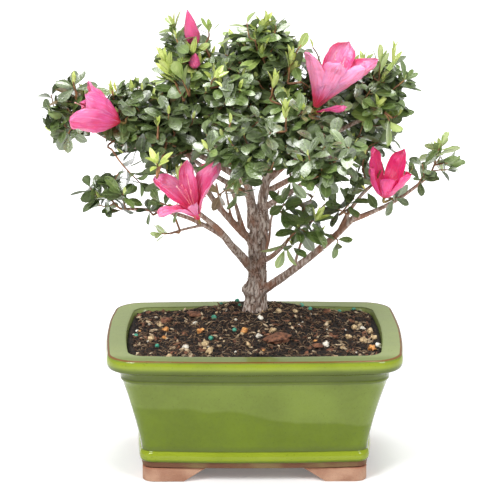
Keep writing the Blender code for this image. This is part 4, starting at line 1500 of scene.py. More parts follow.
@dataclass
class Wood:
    """The trunk and the boughs, grown together under one bark."""

    foot: Vector = field(default_factory=lambda: Vector((0.0008, 0.035, GROUND_HEIGHT)))
    fork: Vector = field(default_factory=lambda: Vector((0.0046, 0.031, 0.1725)))
    trunk_radius: float = 0.0071
    fork_radius: float = 0.0064
    trunk_rings: int = 12
    trunk_sides: int = 40
    trunk_sway: float = 0.0006
    root_depth: float = 0.004
    flare: float = 0.0034
    flare_height: float = 0.006
    flare_lobes: int = 5
    knob_proud: float = 0.0036
    knob_height: float = 0.015
    knob_spread: float = 0.004
    knob_angle: float = math.radians(190)
    bough_step: float = 0.011
    collar_length: float = 0.006
    wobble: float = 0.0006
    wobble_length: float = 0.007
    trunk_step: float = 0.0012
    fine_step: float = 0.0022
    ridges: tuple[tuple[float, int, float], ...] = ((0.00045, 4, 0.008), (0.00035, 7, -0.011))
    plate_width: float = 0.0019
    plate_length: float = 0.0125
    plate_height: float = 0.0005
    grain_length: float = 0.0011
    furrow_width: float = 0.22
    furrow_depth: float = 0.00065
    furrowed_radius: float = 0.006
    slim_radius: float = 0.004
    stem_radii: tuple[float, float] = (0.00115, 0.00085)
    skin_cell: float = 0.0005
    stretch: int = 4000
    stems: tuple[tuple[Place, ...], ...] = (
        ((0.0, 0.033, 0.148), (-0.007, 0.027, 0.166), (-0.0125, 0.023, 0.184), (-0.019, 0.018, 0.204)),
        ((-0.008, 0.026, 0.16), (-0.016, 0.02, 0.176), (-0.02, 0.015, 0.196)),
        ((0.007, 0.032, 0.142), (0.011, 0.029, 0.156), (0.0125, 0.026, 0.172), (0.018, 0.018, 0.196)),
        ((0.006, 0.029, 0.17), (0.01, 0.024, 0.159), (0.0085, 0.022, 0.15)),
        ((-0.03, 0.001, 0.176), (-0.048, -0.008, 0.1745), (-0.06, -0.013, 0.172)),
        ((-0.003, 0.029, 0.152), (-0.01, 0.024, 0.17), (-0.014, 0.02, 0.19), (-0.015, 0.014, 0.207)),
        ((-0.017, 0.011, 0.174), (-0.0235, 0.007, 0.188), (-0.027, 0.002, 0.205)),
        ((0.03, 0.017, 0.143), (0.034, 0.008, 0.16), (0.04, 0.0, 0.176), (0.05, -0.008, 0.192)),
    )

    def trunk_path(self) -> LimbPath:
        """Lay the trunk's path with its lean.

        Returns:
            The path.
        """
        centres, radii = [], []
        for i in range(self.trunk_rings + 1):
            part = i / self.trunk_rings
            centre = self.foot.lerp(self.fork, part)
            centre.x += self.trunk_sway * math.sin(part * math.tau)
            centres.append(centre)
            radii.append(self.trunk_radius + (self.fork_radius - self.trunk_radius) * part)
        radii[-1] *= 0.8
        return LimbPath(centres, radii)

    def bough_path(self, bough: Bough, paths: Mapping[str, LimbPath]) -> LimbPath:
        """The path and taper of a bough, from its parent's middle to its tip.

        Args:
            bough: The bough.
            paths: The paths found so far, its parent's among them.

        Returns:
            Its path.
        """
        start = paths[bough.parent].place(bough.leaves_at) + Vector((bough.shift, 0.0, 0.0))
        tip = Vector(bough.tip)
        length = (tip - start).length
        across = (tip - start).cross(UP).normalized()
        rise = across.cross(tip - start).normalized()
        steps = max(4, round(length / self.bough_step))
        phase = random.Random(bough.name).uniform(0, math.tau)
        centres, radii = [], []
        for i in range(steps + 1):
            part = i / steps
            hump = math.sin(math.pi * part)
            centre = start.lerp(tip, part) + rise * (bough.arch * hump)
            centre += across * (bough.swing * math.sin(math.tau * part))
            centre += across * (self.wobble * hump * math.sin(length * part / self.wobble_length + phase))
            centres.append(centre)
            collar = 0.25 * bough.base_radius * math.exp(-length * part / self.collar_length)
            radii.append(bough.base_radius + (bough.tip_radius - bough.base_radius) * part**0.8 + collar)
        return LimbPath(centres, radii)

    def paths(self) -> dict[str, LimbPath]:
        """Lay every limb's path.

        Returns:
            The paths by name.
        """
        found = {"trunk": self.trunk_path()}
        for bough in BOUGHS:
            found[bough.name] = self.bough_path(bough, found)
        return found

    def trunk_skin(self, path: LimbPath) -> Shape:
        """The trunk as a closed tube with its root flare, ridges and knob.

        Args:
            path: The trunk's path.

        Returns:
            Its points and triangles.
        """
        centres, radii = path.fine(self.trunk_step)
        sunk = np.array([[*centres[0][:2], centres[0][2] - self.root_depth]])
        centres, radii = np.concatenate([sunk, centres]), np.concatenate([[radii[0] * 1.1], radii])
        points, faces = tube(centres, radii, self.trunk_sides)
        for i in range(len(centres) * self.trunk_sides):
            centre = centres[i // self.trunk_sides]
            height = centre[2] - GROUND_HEIGHT
            offset = points[i] - centre
            angle = math.atan2(offset[1], offset[0])
            flare = self.flare * math.exp(-max(height, -0.002) / self.flare_height)
            flare *= 0.7 + 0.3 * math.cos(self.flare_lobes * angle)
            knob = math.exp(-(((height - self.knob_height) / self.knob_spread) ** 2))
            knob *= self.knob_proud * max(0.0, math.cos(angle - self.knob_angle)) ** 2
            ridge = 0.0
            for proud, count, pitch in self.ridges:
                ridge += proud * math.sin(count * angle + height / pitch)
            points[i] += offset / np.linalg.norm(offset) * (flare + knob + ridge)
        return points, faces

    def build(self) -> dict[str, LimbPath]:
        """Build and dress the bark.

        Returns:
            The limbs' paths, from which the foliage grows on.
        """
        paths = self.paths()
        batch = Batch()
        batch.add(*self.trunk_skin(paths["trunk"]))
        for bough in BOUGHS:
            batch.add(*tube(*paths[bough.name].fine(self.fine_step), 16))
        stems = []
        for knots in self.stems:
            centres = curve_through([Vector(knot) for knot in knots], self.fine_step)
            radii = np.linspace(*self.stem_radii, len(centres))
            batch.add(*tube(centres, radii, 10))
            stems.append(LimbPath([Vector(c) for c in centres], list(radii)))
        bark = batch.build("bark")
        apply_modifier(bark, "REMESH", {"mode": "VOXEL", "voxel_size": self.skin_cell, "adaptivity": 0.0})
        apply_modifier(bark, "SMOOTH", {"factor": 0.5, "iterations": 3})
        self.furrow(bark, Segments([*paths.values(), *stems]))
        bark.data.shade_smooth()
        add_piece(bark, BarkFinish().make(), ["trunk", *(bough.name for bough in BOUGHS)])
        return paths

    def furrow(self, bark: bpy.types.Object, segments: Segments) -> None:
        """Raise plates and cut furrows that run along each limb.

        Args:
            bark: The bark, whose points are moved.
            segments: The limbs' stretches.
        """
        points, normals = read_rows(bark.data.vertices, "co"), read_rows(bark.data.vertex_normals, "vector")
        depth, slim, furrow = (np.empty(len(points)) for _ in range(3))
        for start in range(0, len(points), self.stretch):
            stretch = slice(start, start + self.stretch)
            nearest, part, _ = segments.measure(points[stretch])
            middle = segments.starts[nearest] + segments.along[nearest] * part[:, None]
            spoke = points[stretch] - middle
            radius = segments.radii[nearest]
            along = segments.along[nearest] / np.sqrt(segments.squares[nearest])[:, None]
            distance = (points[stretch] * along).sum(1)
            for k in range(len(nearest)):
                far = Vector(along[k]) * (distance[k] / self.plate_length)
                coarse = noise.noise(Vector(spoke[k]) / self.plate_width + far)
                fine = noise.noise(Vector(points[start + k]) / self.grain_length)
                cut = max(0.0, 1 - abs(coarse) / self.furrow_width)
                size = min(1.0, radius[k] / self.furrowed_radius)
                furrow[start + k] = cut * min(1.0, 0.25 + size)
                plate = self.plate_height * (coarse + 0.5 * fine)
                depth[start + k] = size * (plate - self.furrow_depth * cut * size)
                slim[start + k] = 1 - min(1.0, radius[k] / self.slim_radius)
        move_points(bark, points + normals * depth[:, None])
        add_mark(bark.data, "furrow", furrow)
        add_mark(bark.data, "slim", slim)


# Foliage


@dataclass(frozen=True)
class Mass:
    """A mass of foliage: the bough that carries it, its middle and its reach along each axis."""

    place: str
    bough: str
    centre: Place
    reach: Place
    fullness: float
    freshness: float

    @property
    def name(self) -> str:
        """The node that the mass stands for."""
        return f"foliage_{self.place}"

    @property
    def mean_reach(self) -> float:
        """The mean of its reach along the axes."""
        return sum(self.reach) / 3


MASSES = (
    Mass("left_tip", "bough_left_tip", (-0.129, 0.004, 0.256), (0.0242, 0.033, 0.029), 0.62, 0.12),
    Mass("left_upper", "bough_left_high", (-0.093, -0.004, 0.256), (0.026, 0.034, 0.029), 1.0, 0.12),
    Mass("left_mid", "bough_left_mid", (-0.058, -0.01, 0.248), (0.029, 0.037, 0.029), 0.9, 0.12),
    Mass("left_low", "bough_left_far", (-0.105, -0.016, 0.201), (0.027, 0.026, 0.019), 0.42, 0.35),
    Mass("left_front", "bough_left_low", (-0.054, -0.043, 0.217), (0.0285, 0.038, 0.029), 0.8, 0.12),
    Mass("top_left", "bough_top_left", (-0.047, 0.008, 0.29), (0.025, 0.033, 0.037), 1.0, 0.45),
    Mass("centre", "leader_left", (-0.019, -0.006, 0.272), (0.027, 0.035, 0.03), 0.9, 0.22),
    Mass("top", "leader_right", (0.006, 0.014, 0.295), (0.031, 0.034, 0.031), 1.0, 0.34),
    Mass("top_right", "bough_top_right", (0.05, 0.004, 0.278), (0.029, 0.035, 0.03), 1.0, 0.3),
    Mass("right_upper", "bough_right_high", (0.088, 0.006, 0.269), (0.027, 0.035, 0.033), 0.9, 0.45),
    Mass("right_centre", "bough_centre", (0.026, -0.022, 0.255), (0.029, 0.035, 0.029), 0.9, 0.12),
    Mass("front", "bough_front", (-0.01, -0.066, 0.245), (0.034, 0.044, 0.03), 0.9, 0.06),
    Mass("right_front", "bough_right_front", (0.046, -0.057, 0.237), (0.031, 0.044, 0.026), 0.8, 0.05),
    Mass("right_mid", "bough_right_mid", (0.09, -0.018, 0.221), (0.0275, 0.033, 0.029), 0.8, 0.2),
    Mass("right_tip", "bough_right_tip", (0.129, -0.006, 0.2225), (0.0215, 0.023, 0.018), 0.24, 0.3),
    Mass("right_low", "bough_centre_low", (0.035, -0.014, 0.18), (0.025, 0.026, 0.027), 0.36, 0.35),
    Mass("back_left", "bough_back_left", (-0.072, 0.064, 0.236), (0.042, 0.046, 0.035), 0.9, 0.15),
    Mass("back", "bough_back", (0.0, 0.07, 0.24), (0.038, 0.04, 0.035), 0.9, 0.15),
    Mass("back_right", "bough_back_right", (0.07, 0.064, 0.236), (0.042, 0.046, 0.035), 0.9, 0.15),
    Mass("back_top", "bough_back_top", (0.004, 0.054, 0.284), (0.036, 0.034, 0.028), 0.9, 0.2),
)


@dataclass(frozen=True)
class Petal:
    """One petal: where it stands round the axis, how it opens and how large it is.

    angle is counted from the upward side, in degrees. spread is how far it opens, where 1 reaches
    the mouth's radius, and curl how far its tip bends back, in degrees. length is a share of the
    flower's own length, and breadth half its width against its length.
    """

    angle: float
    spread: float
    length: float
    curl: float
    breadth: float


@dataclass(frozen=True)
class Bloom:
    """A flower: its mass's place, its foot, its mouth and its petals. A closed bud has none of its own.

    flare is how far the petals lean outward at the foot, in degrees. paleness is how pale they are
    outside, and a deep flower is crimson.
    """

    place: str
    foot: Place
    mouth: Place
    radius: float
    flare: float = 14.0
    paleness: float = 0.3
    petals: tuple[Petal, ...] = ()
    deep: bool = False

    @property
    def has_stamens(self) -> bool:
        """Whether it is open wide enough to show stamens."""
        return len(self.petals) > 1 and not self.deep


BLOOMS = (
    Bloom("left_upper", (-0.094, -0.02, 0.2545), (-0.1215, -0.026, 0.2655), 0.0175, 58, 0.0, (
        Petal(8, 1.0, 1.0, 20, 0.3), Petal(80, 0.4, 0.92, -40, 0.32), Petal(185, 1.0, 0.9, -30, 0.4),
        Petal(248, -0.2, 1.22, 22, 0.28), Petal(312, 1.2, 1.04, -6, 0.4),
    )),
    Bloom("top_left", (-0.042, 0.003, 0.305), (-0.0465, 0.0, 0.329), 0.0054),
    Bloom("top_left", (-0.042, -0.008, 0.291), (-0.041, -0.013, 0.301), 0.0042),
    Bloom("top_right", (0.0425, -0.019, 0.265), (0.0578, -0.018, 0.2975), 0.027, 30, 0.65, (
        Petal(34, 1.12, 0.96, 0, 0.25), Petal(86, 0.72, 0.92, -12, 0.28), Petal(138, 0.78, 1.0, -10, 0.26),
        Petal(196, 0.72, 1.16, -6, 0.25), Petal(256, 0.6, 1.16, -4, 0.26),
    )),
    Bloom("top_right", (0.041, -0.021, 0.261), (0.064, -0.028, 0.266), 0.003, 14, 0.0, (
        Petal(77, 1.0, 1.0, 0, 0.28),
    )),
    Bloom("left_front", (-0.0393, -0.05, 0.1925), (-0.049, -0.06, 0.219), 0.0225, 18, 0.55, (
        Petal(24, 0.56, 1.04, 5, 0.24), Petal(92, 1.02, 1.08, 10, 0.22), Petal(160, 1.44, 0.8, 6, 0.21),
        Petal(236, 0.7, 0.52, 10, 0.28), Petal(334, 1.22, 1.08, -12, 0.4),
    )),
    Bloom("right_mid", (0.0915, -0.02, 0.2), (0.094, -0.0285, 0.225), 0.016, 56, 0.3, (
        Petal(24, 0.9, 1.18, 0, 0.18), Petal(84, 0.95, 0.9, -6, 0.26), Petal(168, 0.6, 0.8, -12, 0.42),
        Petal(228, 1.2, 0.94, 18, 0.3), Petal(312, 1.6, 1.14, 10, 0.24),
    ), deep=True),
)


class Room:
    """The space that one mass keeps to: its reach, less what is nearer a neighbour, a limb or a flower."""

    def __init__(self, mass: Mass, paths: Mapping[str, LimbPath], confined: bool = True) -> None:
        """Measure the space.

        Args:
            mass: The mass.
            paths: The limbs' paths.
            confined: Whether its reach and its neighbours count.
        """
        self.confined = confined
        self.centre = np.array(mass.centre)
        self.reach = np.array(mass.reach)
        self.seed = Vector((random.Random(mass.name).uniform(0, 99), 0.0, 0.0))
        weight = mass.mean_reach**2
        feet, normals = [], []
        for other in MASSES:
            if other.name != mass.name:
                across = np.array(other.centre) - self.centre
                square = float(across @ across)
                part = 0.5 + (weight - other.mean_reach**2) / (2 * square)
                feet.append(self.centre + across * part)
                normals.append(across / math.sqrt(square))
        self.feet, self.normals = np.array(feet), np.array(normals)
        span = max(mass.reach) + 0.012
        near = [p for p in paths.values() if Segments([p]).measure(self.centre[None])[2][0] < span]
        self.limbs = Segments(near)
        self.blooms = []
        for bloom in BLOOMS:
            widest = max([1.0, *(0.85 * petal.spread for petal in bloom.petals)])
            foot, mouth = np.array(bloom.foot), np.array(bloom.mouth)
            self.blooms.append((foot, mouth - foot, bloom.radius * widest))

    def to_flowers(self, points: Array) -> Array:
        """Measure roughly how far points are outside the flowers' cones, drawn out to the front.

        Args:
            points: The points, one row each.

        Returns:
            The distances, one for each point.
        """
        nearest = np.full(len(points), 1.0)
        for foot, axis, radius in self.blooms:
            length = float(np.linalg.norm(axis))
            offset = points - foot
            before = np.minimum(0.0, offset[:, 1] - min(0.0, axis[1]))
            offset += before[:, None] * np.array((0.0, -0.6, 0.26))
            along = offset @ axis / length
            away = np.linalg.norm(offset - axis * (along / length)[:, None], axis=1)
            part = np.clip(along / length, 0, 1)
            beyond = np.maximum(-along, along - 1.15 * length)
            nearest = np.minimum(nearest, np.maximum(away - radius * (0.18 + 1.1 * part**0.8), beyond))
        return nearest

    def edge(self, offset: Array) -> float:
        """How far out the foliage goes this way, where 1 is the reach: ragged, not round."""
        way = Vector(offset) / max(1e-6, float(np.linalg.norm(offset)))
        return 0.99 + 0.34 * noise.noise(way * 1.9 + self.seed)

    def holds(self, points: Array, to_limb: float, to_flower: float = 0.0008, across: float = 0.0) -> bool:
        """Whether all points are in the space with room to spare.

        Args:
            points: The points, one row each.
            to_limb: The least distance from a limb's surface.
            to_flower: The least distance from a flower's cone.
            across: How far the points may go past the wall to a neighbour.

        Returns:
            True where every point is in the space.
        """
        if self.confined:
            offsets = (points - self.centre) / self.reach
            far = int((offsets**2).sum(1).argmax())
            past = ((points[:, None] - self.feet[None]) * self.normals[None]).sum(2)
            if past.max() > across or float(np.linalg.norm(offsets[far])) > self.edge(offsets[far]):
                return False
        if self.to_flowers(points).min() < to_flower:
            return False
        return self.limbs.measure(points)[2].min() > to_limb


class Tone(Enum):
    """The leaf colours, each a piece of its own."""

    DARK = "leaves_dark"
    MID = "leaves_mid"
    FRESH = "leaves_fresh"
    OLIVE = "leaves_olive"
    YOUNG = "young_shoots"


LEAF_FINISHES = {
    Tone.DARK: LeafFinish("leaf_dark", tint(38, 50, 22), tint(86, 104, 52), tint(130, 150, 100), 0.2),
    Tone.MID: LeafFinish("leaf_mid", tint(62, 84, 30), tint(104, 128, 58), tint(148, 168, 108), 0.22),
    Tone.FRESH: LeafFinish("leaf_fresh", tint(104, 132, 46), tint(150, 172, 80), tint(192, 204, 136), 0.28),
    Tone.OLIVE: LeafFinish("leaf_olive", tint(88, 68, 40), tint(132, 108, 62), tint(160, 138, 94), 0.34),
    Tone.YOUNG: LeafFinish("leaf_young", tint(142, 164, 50), tint(192, 206, 98), tint(222, 230, 150), 0.34),
}


@dataclass(frozen=True)
class LeafShape:
    """A leaf blade: stations from its stalk to its tip and its half width at each."""

    stations: tuple[float, ...] = (0.1, 0.29, 0.51, 0.72, 0.9)
    halves: tuple[float, ...] = (0.09, 0.5, 0.92, 1.0, 0.62)
    fold: float = 0.18
    thickness: float = 0.022

    def template(self) -> tuple[Array, Array, Array, Array]:
        """One blade of unit length and half width.

        Returns:
            Its points as (across, along, over), its triangles, and how near each point is to the rib
            and to the underside.
        """
        rows = [(0.0, 0.0, 0.0, 1.0, 0.0)]
        for station, half in zip(self.stations, self.halves):
            lift = self.fold * half
            rows += [
                (-half, station, lift, 0.0, 0.4),
                (0.0, station, self.thickness, 1.0, 0.0),
                (half, station, lift, 0.0, 0.4),
                (0.0, station, -self.thickness, 0.6, 1.0),
            ]
        rows.append((0.0, 1.0, 0.0, 0.6, 0.3))
        last, tip = len(rows) - 5, len(rows) - 1
        sides = ((0, 1), (1, 2), (2, 3), (3, 0))
        faces = [(0, 2, 1), (0, 3, 2), (0, 1, 4), (0, 4, 3)]
        for a in range(1, last, 4):
            for p, q in sides:
                faces += [(a + p, a + q, a + 4 + q), (a + p, a + 4 + q, a + 4 + p)]
        faces += [(last + p, last + q, tip) for p, q in sides]
        table = np.array(rows)
        return table[:, :3], np.array(faces), table[:, 3], table[:, 4]


class Blade(NamedTuple):
    """One leaf that has found its place."""

    root: Array
    along: Array
    across: Array
    length: float
    width: float
    curl: float
    tone: float


@dataclass
class Spray:
    """Blades of one colour, gathered for one mesh."""

    shape: LeafShape
    blades: list[Blade] = field(default_factory=list)

    def build(self, name: str) -> bpy.types.Object:
        """Build all blades as one mesh.

        Args:
            name: The mesh's name.

        Returns:
            The object.
        """
        points, faces, rib, under = self.shape.template()
        roots, along, across, length, width, curl, tone = (np.array(row) for row in zip(*self.blades))
        over = np.cross(across, along)
        length, half, curl = (row[:, None, None] for row in (length, width / 2, curl))
        u, v, w = (points[None, :, k, None] for k in range(3))
        droop = curl * (v**2) * length
        placed = (
            roots[:, None] + along[:, None] * (v * length * (1 - 0.25 * curl * v))
            + across[:, None] * (u * half) + over[:, None] * (w * half - droop)
        )
        count, size = len(self.blades), len(points)
        all_faces = faces[None] + (np.arange(count) * size)[:, None, None]
        marks = {"rib": np.tile(rib, count), "under": np.tile(under, count), "tone": np.repeat(tone, size)}
        return smooth(mesh_object(name, placed.reshape(-1, 3), all_faces.reshape(-1, 3), marks), 75)


@dataclass(frozen=True)
class Sprig:
    """A shoot that stands out of its mass: where it starts and ends, and the leaves along it.

    width is a share of the leaves' length. lean is their angle from the shoot in degrees, at its tip
    and at its foot.
    """

    place: str
    foot: Place
    tip: Place
    tone: Tone
    leaves: int
    length: float
    width: float
    lean: tuple[float, float]


SPRIGS = (
    Sprig("top_left", (-0.05, -0.015, 0.27), (-0.062, -0.019, 0.297), Tone.YOUNG, 12, 0.0165, 0.28, (14, 40)),
    Sprig("top_left", (-0.046, -0.018, 0.274), (-0.05, -0.022, 0.284), Tone.FRESH, 4, 0.02, 0.46, (4, 40)),
    Sprig("top_left", (-0.034, 0.0, 0.306), (-0.032, -0.002, 0.316), Tone.FRESH, 6, 0.013, 0.3, (12, 50)),
    Sprig("top_left", (-0.052, 0.003, 0.299), (-0.057, 0.0, 0.309), Tone.MID, 6, 0.013, 0.42, (16, 100)),
    Sprig("centre", (-0.03, -0.022, 0.28), (-0.027, -0.028, 0.287), Tone.YOUNG, 6, 0.014, 0.28, (25, 75)),
    Sprig("top", (0.003, 0.008, 0.302), (0.008, 0.005, 0.32), Tone.YOUNG, 10, 0.0135, 0.34, (15, 75)),
    Sprig("top", (0.011, 0.006, 0.308), (0.015, 0.004, 0.318), Tone.MID, 5, 0.014, 0.36, (25, 80)),
    Sprig("top", (0.028, 0.006, 0.293), (0.033, 0.004, 0.304), Tone.FRESH, 4, 0.017, 0.34, (6, 40)),
    Sprig("top_right", (0.024, -0.006, 0.281), (0.0255, -0.008, 0.295), Tone.YOUNG, 6, 0.016, 0.3, (6, 26)),
    Sprig("right_centre", (0.012, -0.024, 0.273), (0.013, -0.026, 0.283), Tone.YOUNG, 5, 0.013, 0.3, (6, 30)),
    Sprig("right_upper", (0.086, -0.004, 0.27), (0.088, -0.006, 0.292), Tone.FRESH, 8, 0.02, 0.26, (8, 34)),
    Sprig("right_upper", (0.092, 0.0, 0.28), (0.0975, -0.002, 0.298), Tone.YOUNG, 4, 0.017, 0.26, (5, 30)),
    Sprig("right_upper", (0.097, 0.004, 0.268), (0.106, 0.002, 0.28), Tone.MID, 8, 0.0165, 0.3, (18, 80)),
    Sprig(
        "right_upper", (0.092, -0.012, 0.258), (0.0945, -0.016, 0.254),
        Tone.FRESH, 2, 0.024, 0.42, (20, 30),
    ),
    Sprig("right_front", (0.021, -0.05, 0.256), (0.021, -0.053, 0.268), Tone.YOUNG, 5, 0.014, 0.3, (8, 34)),
    Sprig("left_tip", (-0.125, -0.002, 0.272), (-0.1265, -0.004, 0.28), Tone.YOUNG, 4, 0.011, 0.36, (4, 12)),
    Sprig("left_tip", (-0.125, -0.002, 0.27), (-0.1262, -0.006, 0.277), Tone.DARK, 8, 0.018, 0.42, (66, 112)),
    Sprig("left_tip", (-0.124, -0.004, 0.25), (-0.13, -0.015, 0.245), Tone.DARK, 8, 0.0185, 0.48, (50, 120)),
    Sprig(
        "left_upper", (-0.0985, -0.006, 0.266), (-0.0995, -0.008, 0.274),
        Tone.YOUNG, 4, 0.0115, 0.36, (4, 14),
    ),
    Sprig("left_mid", (-0.067, -0.036, 0.248), (-0.0665, -0.039, 0.256), Tone.YOUNG, 4, 0.011, 0.36, (4, 14)),
    Sprig(
        "left_front", (-0.067, -0.056, 0.228), (-0.067, -0.062, 0.234),
        Tone.YOUNG, 7, 0.014, 0.32, (20, 75),
    ),
    Sprig("left_upper", (-0.1, -0.016, 0.234), (-0.08, -0.026, 0.212), Tone.DARK, 10, 0.016, 0.46, (40, 80)),
    Sprig("left_low", (-0.072, -0.011, 0.186), (-0.075, -0.015, 0.19), Tone.DARK, 5, 0.0125, 0.55, (50, 120)),
    Sprig(
        "left_front", (-0.056, -0.012, 0.173), (-0.066, -0.015, 0.1725),
        Tone.FRESH, 6, 0.012, 0.42, (20, 70),
    ),
    Sprig("front", (-0.012, -0.056, 0.222), (-0.012, -0.062, 0.213), Tone.DARK, 8, 0.019, 0.5, (60, 110)),
    Sprig("left_front", (-0.02, -0.006, 0.204), (-0.025, -0.016, 0.201), Tone.OLIVE, 4, 0.017, 0.4, (40, 80)),
    Sprig("right_low", (0.018, -0.008, 0.188), (0.021, -0.018, 0.195), Tone.MID, 8, 0.017, 0.44, (40, 100)),
    Sprig("right_front", (0.024, -0.05, 0.226), (0.025, -0.056, 0.219), Tone.MID, 4, 0.021, 0.46, (20, 60)),
    Sprig("right_mid", (0.062, -0.005, 0.185), (0.0705, -0.014, 0.198), Tone.MID, 9, 0.0165, 0.46, (40, 100)),
    Sprig("right_mid", (0.065, -0.006, 0.185), (0.057, -0.016, 0.192), Tone.DARK, 7, 0.0165, 0.5, (50, 100)),
    Sprig("right_mid", (0.096, -0.004, 0.196), (0.101, -0.012, 0.198), Tone.DARK, 6, 0.015, 0.46, (50, 110)),
    Sprig("right_tip", (0.116, -0.006, 0.206), (0.118, -0.012, 0.212), Tone.DARK, 7, 0.015, 0.42, (50, 110)),
    Sprig("right_tip", (0.1275, -0.006, 0.22), (0.132, -0.007, 0.235), Tone.FRESH, 6, 0.013, 0.34, (12, 80)),
    Sprig("right_tip", (0.1275, -0.006, 0.22), (0.14, -0.008, 0.222), Tone.MID, 6, 0.014, 0.36, (25, 95)),
    Sprig("right_low", (0.056, 0.005, 0.1655), (0.06, -0.001, 0.162), Tone.MID, 3, 0.015, 0.42, (20, 70)),
    Sprig("right_low", (0.024, -0.004, 0.166), (0.022, -0.009, 0.16), Tone.FRESH, 3, 0.022, 0.46, (15, 70)),
)


@dataclass
class Twig:
    """A twig: its path, the twig it leaves, and how many shoots it feeds."""

    path: Array
    parent: int
    load: int = 0


class Shoot(NamedTuple):
    """A shoot: its end, the way it points and the twig that carries it."""

    end: Array
    way: Array
    twig: int


@dataclass
class Growth:
    """What grows in one mass's room: its twigs and leaves, or those of one sprig."""

    crown: "Crown"
    mass: Mass
    room: Room
    draw: random.Random
    leaf_length: float = 0.0218
    leaf_width: float = 0.43
    shoots: float = 25.0
    mean_reach: float = 0.029
    shoot_out: tuple[float, float] = (0.42, 0.86)
    inner_out: tuple[float, float] = (0.15, 0.5)
    outer_share: float = 0.8
    pulls: tuple[float, ...] = (1.0, 0.85, 0.7, 0.5, 0.3)
    spacing: float = 0.0052
    stem_step: float = 0.003
    twig_step: float = 0.0025
    detour: float = 0.4
    shortest_twig: float = 0.0015
    twig_radius: float = 0.00046
    thickest_twig: float = 0.0012
    thickening: float = 0.4
    to_limb: float = 0.0009
    to_flower: float = 0.0015
    past_wall: float = 0.008
    cell: float = 0.0019
    twists: tuple[float, ...] = (0.0, 0.45, -0.45)
    cuts: tuple[float, ...] = (1.0, 0.88, 0.76)
    lift: float = 0.1
    roll: float = 0.22
    rosette: tuple[int, ...] = (5, 6, 6, 7, 8)
    root_step: float = 0.0009
    along_share: float = 0.38

    def shoot_ends(self, count: int) -> list[Array]:
        """Find ends for the shoots, spread along a spiral and pulled in until they fit.

        Args:
            count: How many to try.

        Returns:
            The ends that found a place.
        """
        turn = self.draw.uniform(0, math.tau)
        found: list[Array] = []
        for i in range(count):
            height = 1 - 2 * (i + 0.5) / count
            width = math.sqrt(1 - height * height)
            angle = turn + GOLDEN_TURN * i
            way = np.array((width * math.cos(angle), width * math.sin(angle), height))
            outs = self.shoot_out if self.draw.random() < self.outer_share else self.inner_out
            out = self.draw.uniform(*outs)
            for pull in self.pulls:
                end = self.room.centre + way * self.room.reach * (out * pull)
                free = all(float(np.linalg.norm(end - other)) > self.spacing for other in found)
                if free and self.room.holds(end[None], self.to_limb, self.to_flower):
                    found.append(end)
                    break
        return found

    def twig_path(self, root: Array, end: Array) -> Array | None:
        """Lead a twig to its end: bent where there is room for it, else straight.

        Args:
            root: Where it starts.
            end: Where it ends.

        Returns:
            The path, or None where the twig is too short or there is no room.
        """
        straight = end - root
        length = float(np.linalg.norm(straight))
        if length < self.shortest_twig:
            return None
        sway = np.array([self.draw.gauss(0, 0.1) for _ in range(3)])
        middle = root + straight * 0.5 + (sway + np.array((0.0, 0.0, -0.06))) * length
        path = curve_through([root, middle, end], self.twig_step)
        if self.room.holds(path[2:], 0.0003, 0.0004):
            return path
        path = root + np.linspace(0, 1, 5)[:, None] * straight
        return path if self.room.holds(path[1:], 0.0, 0.0002) else None

    def grow_twigs(self, bough: LimbPath, count: int) -> tuple[list[Twig], list[Shoot]]:
        """Grow a stem on from the bough's tip, and twigs that branch from it to the shoots' ends.

        Each twig leaves the fork that costs it least: its length, and a part of the way to the fork.

        Args:
            bough: The bough.
            count: How many shoots to try.

        Returns:
            The twigs, with the stem first, and the shoots at their ends.
        """
        start = np.array(bough.centres[-1])
        way = np.array(bough.end_direction())
        heart = start + (self.room.centre - start) * 0.85
        bend = start + way * (float(np.linalg.norm(heart - start)) * 0.4)
        stem = curve_through([start - way * 0.001, bend, heart], self.stem_step)
        twigs = [Twig(stem, -1)]
        forks = [(point, 0) for point in stem[1:]]
        shoots = []
        for end in sorted(self.shoot_ends(count), key=lambda end: float(np.linalg.norm(end - start))):
            costs = []
            for at, _ in forks:
                costs.append(
                    float(np.linalg.norm(end - at)) + self.detour * float(np.linalg.norm(at - start))
                )
            root, parent = forks[costs.index(min(costs))]
            path = self.twig_path(root, end)
            if path is None:
                continue
            twigs.append(Twig(path, parent))
            forks += [(point, len(twigs) - 1) for point in path[1:-1]]
            outward = unit((end - self.room.centre) / self.room.reach)
            way = unit(end - path[-2]) * 0.35 + outward * 0.4 + np.array((0, 0, 0.7))
            shoots.append(Shoot(end, unit(way), len(twigs) - 1))
        return twigs, shoots

    def add_twigs(self, twigs: list[Twig], shoots: list[Shoot], stem_radius: float) -> None:
        """Thicken each twig by the shoots that it feeds and add it to the mesh.

        Args:
            twigs: The twigs, with the stem first.
            shoots: The shoots.
            stem_radius: The bough's radius at its tip.
        """
        for shoot in shoots:
            index = shoot.twig
            while index >= 0:
                twigs[index].load += 1
                index = twigs[index].parent
        for index, twig in enumerate(twigs):
            most, end_share = (self.thickest_twig, 1.0) if index else (stem_radius, 1.6)
            thick = min(self.twig_radius * max(twig.load, 1) ** self.thickening, most)
            thin = min(self.twig_radius * end_share, thick)
            radii = np.linspace(thick, thin, len(twig.path))
            self.crown.twigs.add(*tube(twig.path, radii, 6 if thick > 0.0008 else 4), {"slim": 1.0})

    def is_free(self, samples: Array) -> bool:
        """Find out whether a blade lies clear of those already placed, and if so take its cells.

        Args:
            samples: Points of the blade, one row each.

        Returns:
            True where it lies clear.
        """
        cells = {tuple(cell) for cell in np.floor(samples / self.cell).astype(int).tolist()}
        if len(cells & self.crown.taken) > 1:
            return False
        self.crown.taken |= cells
        return True

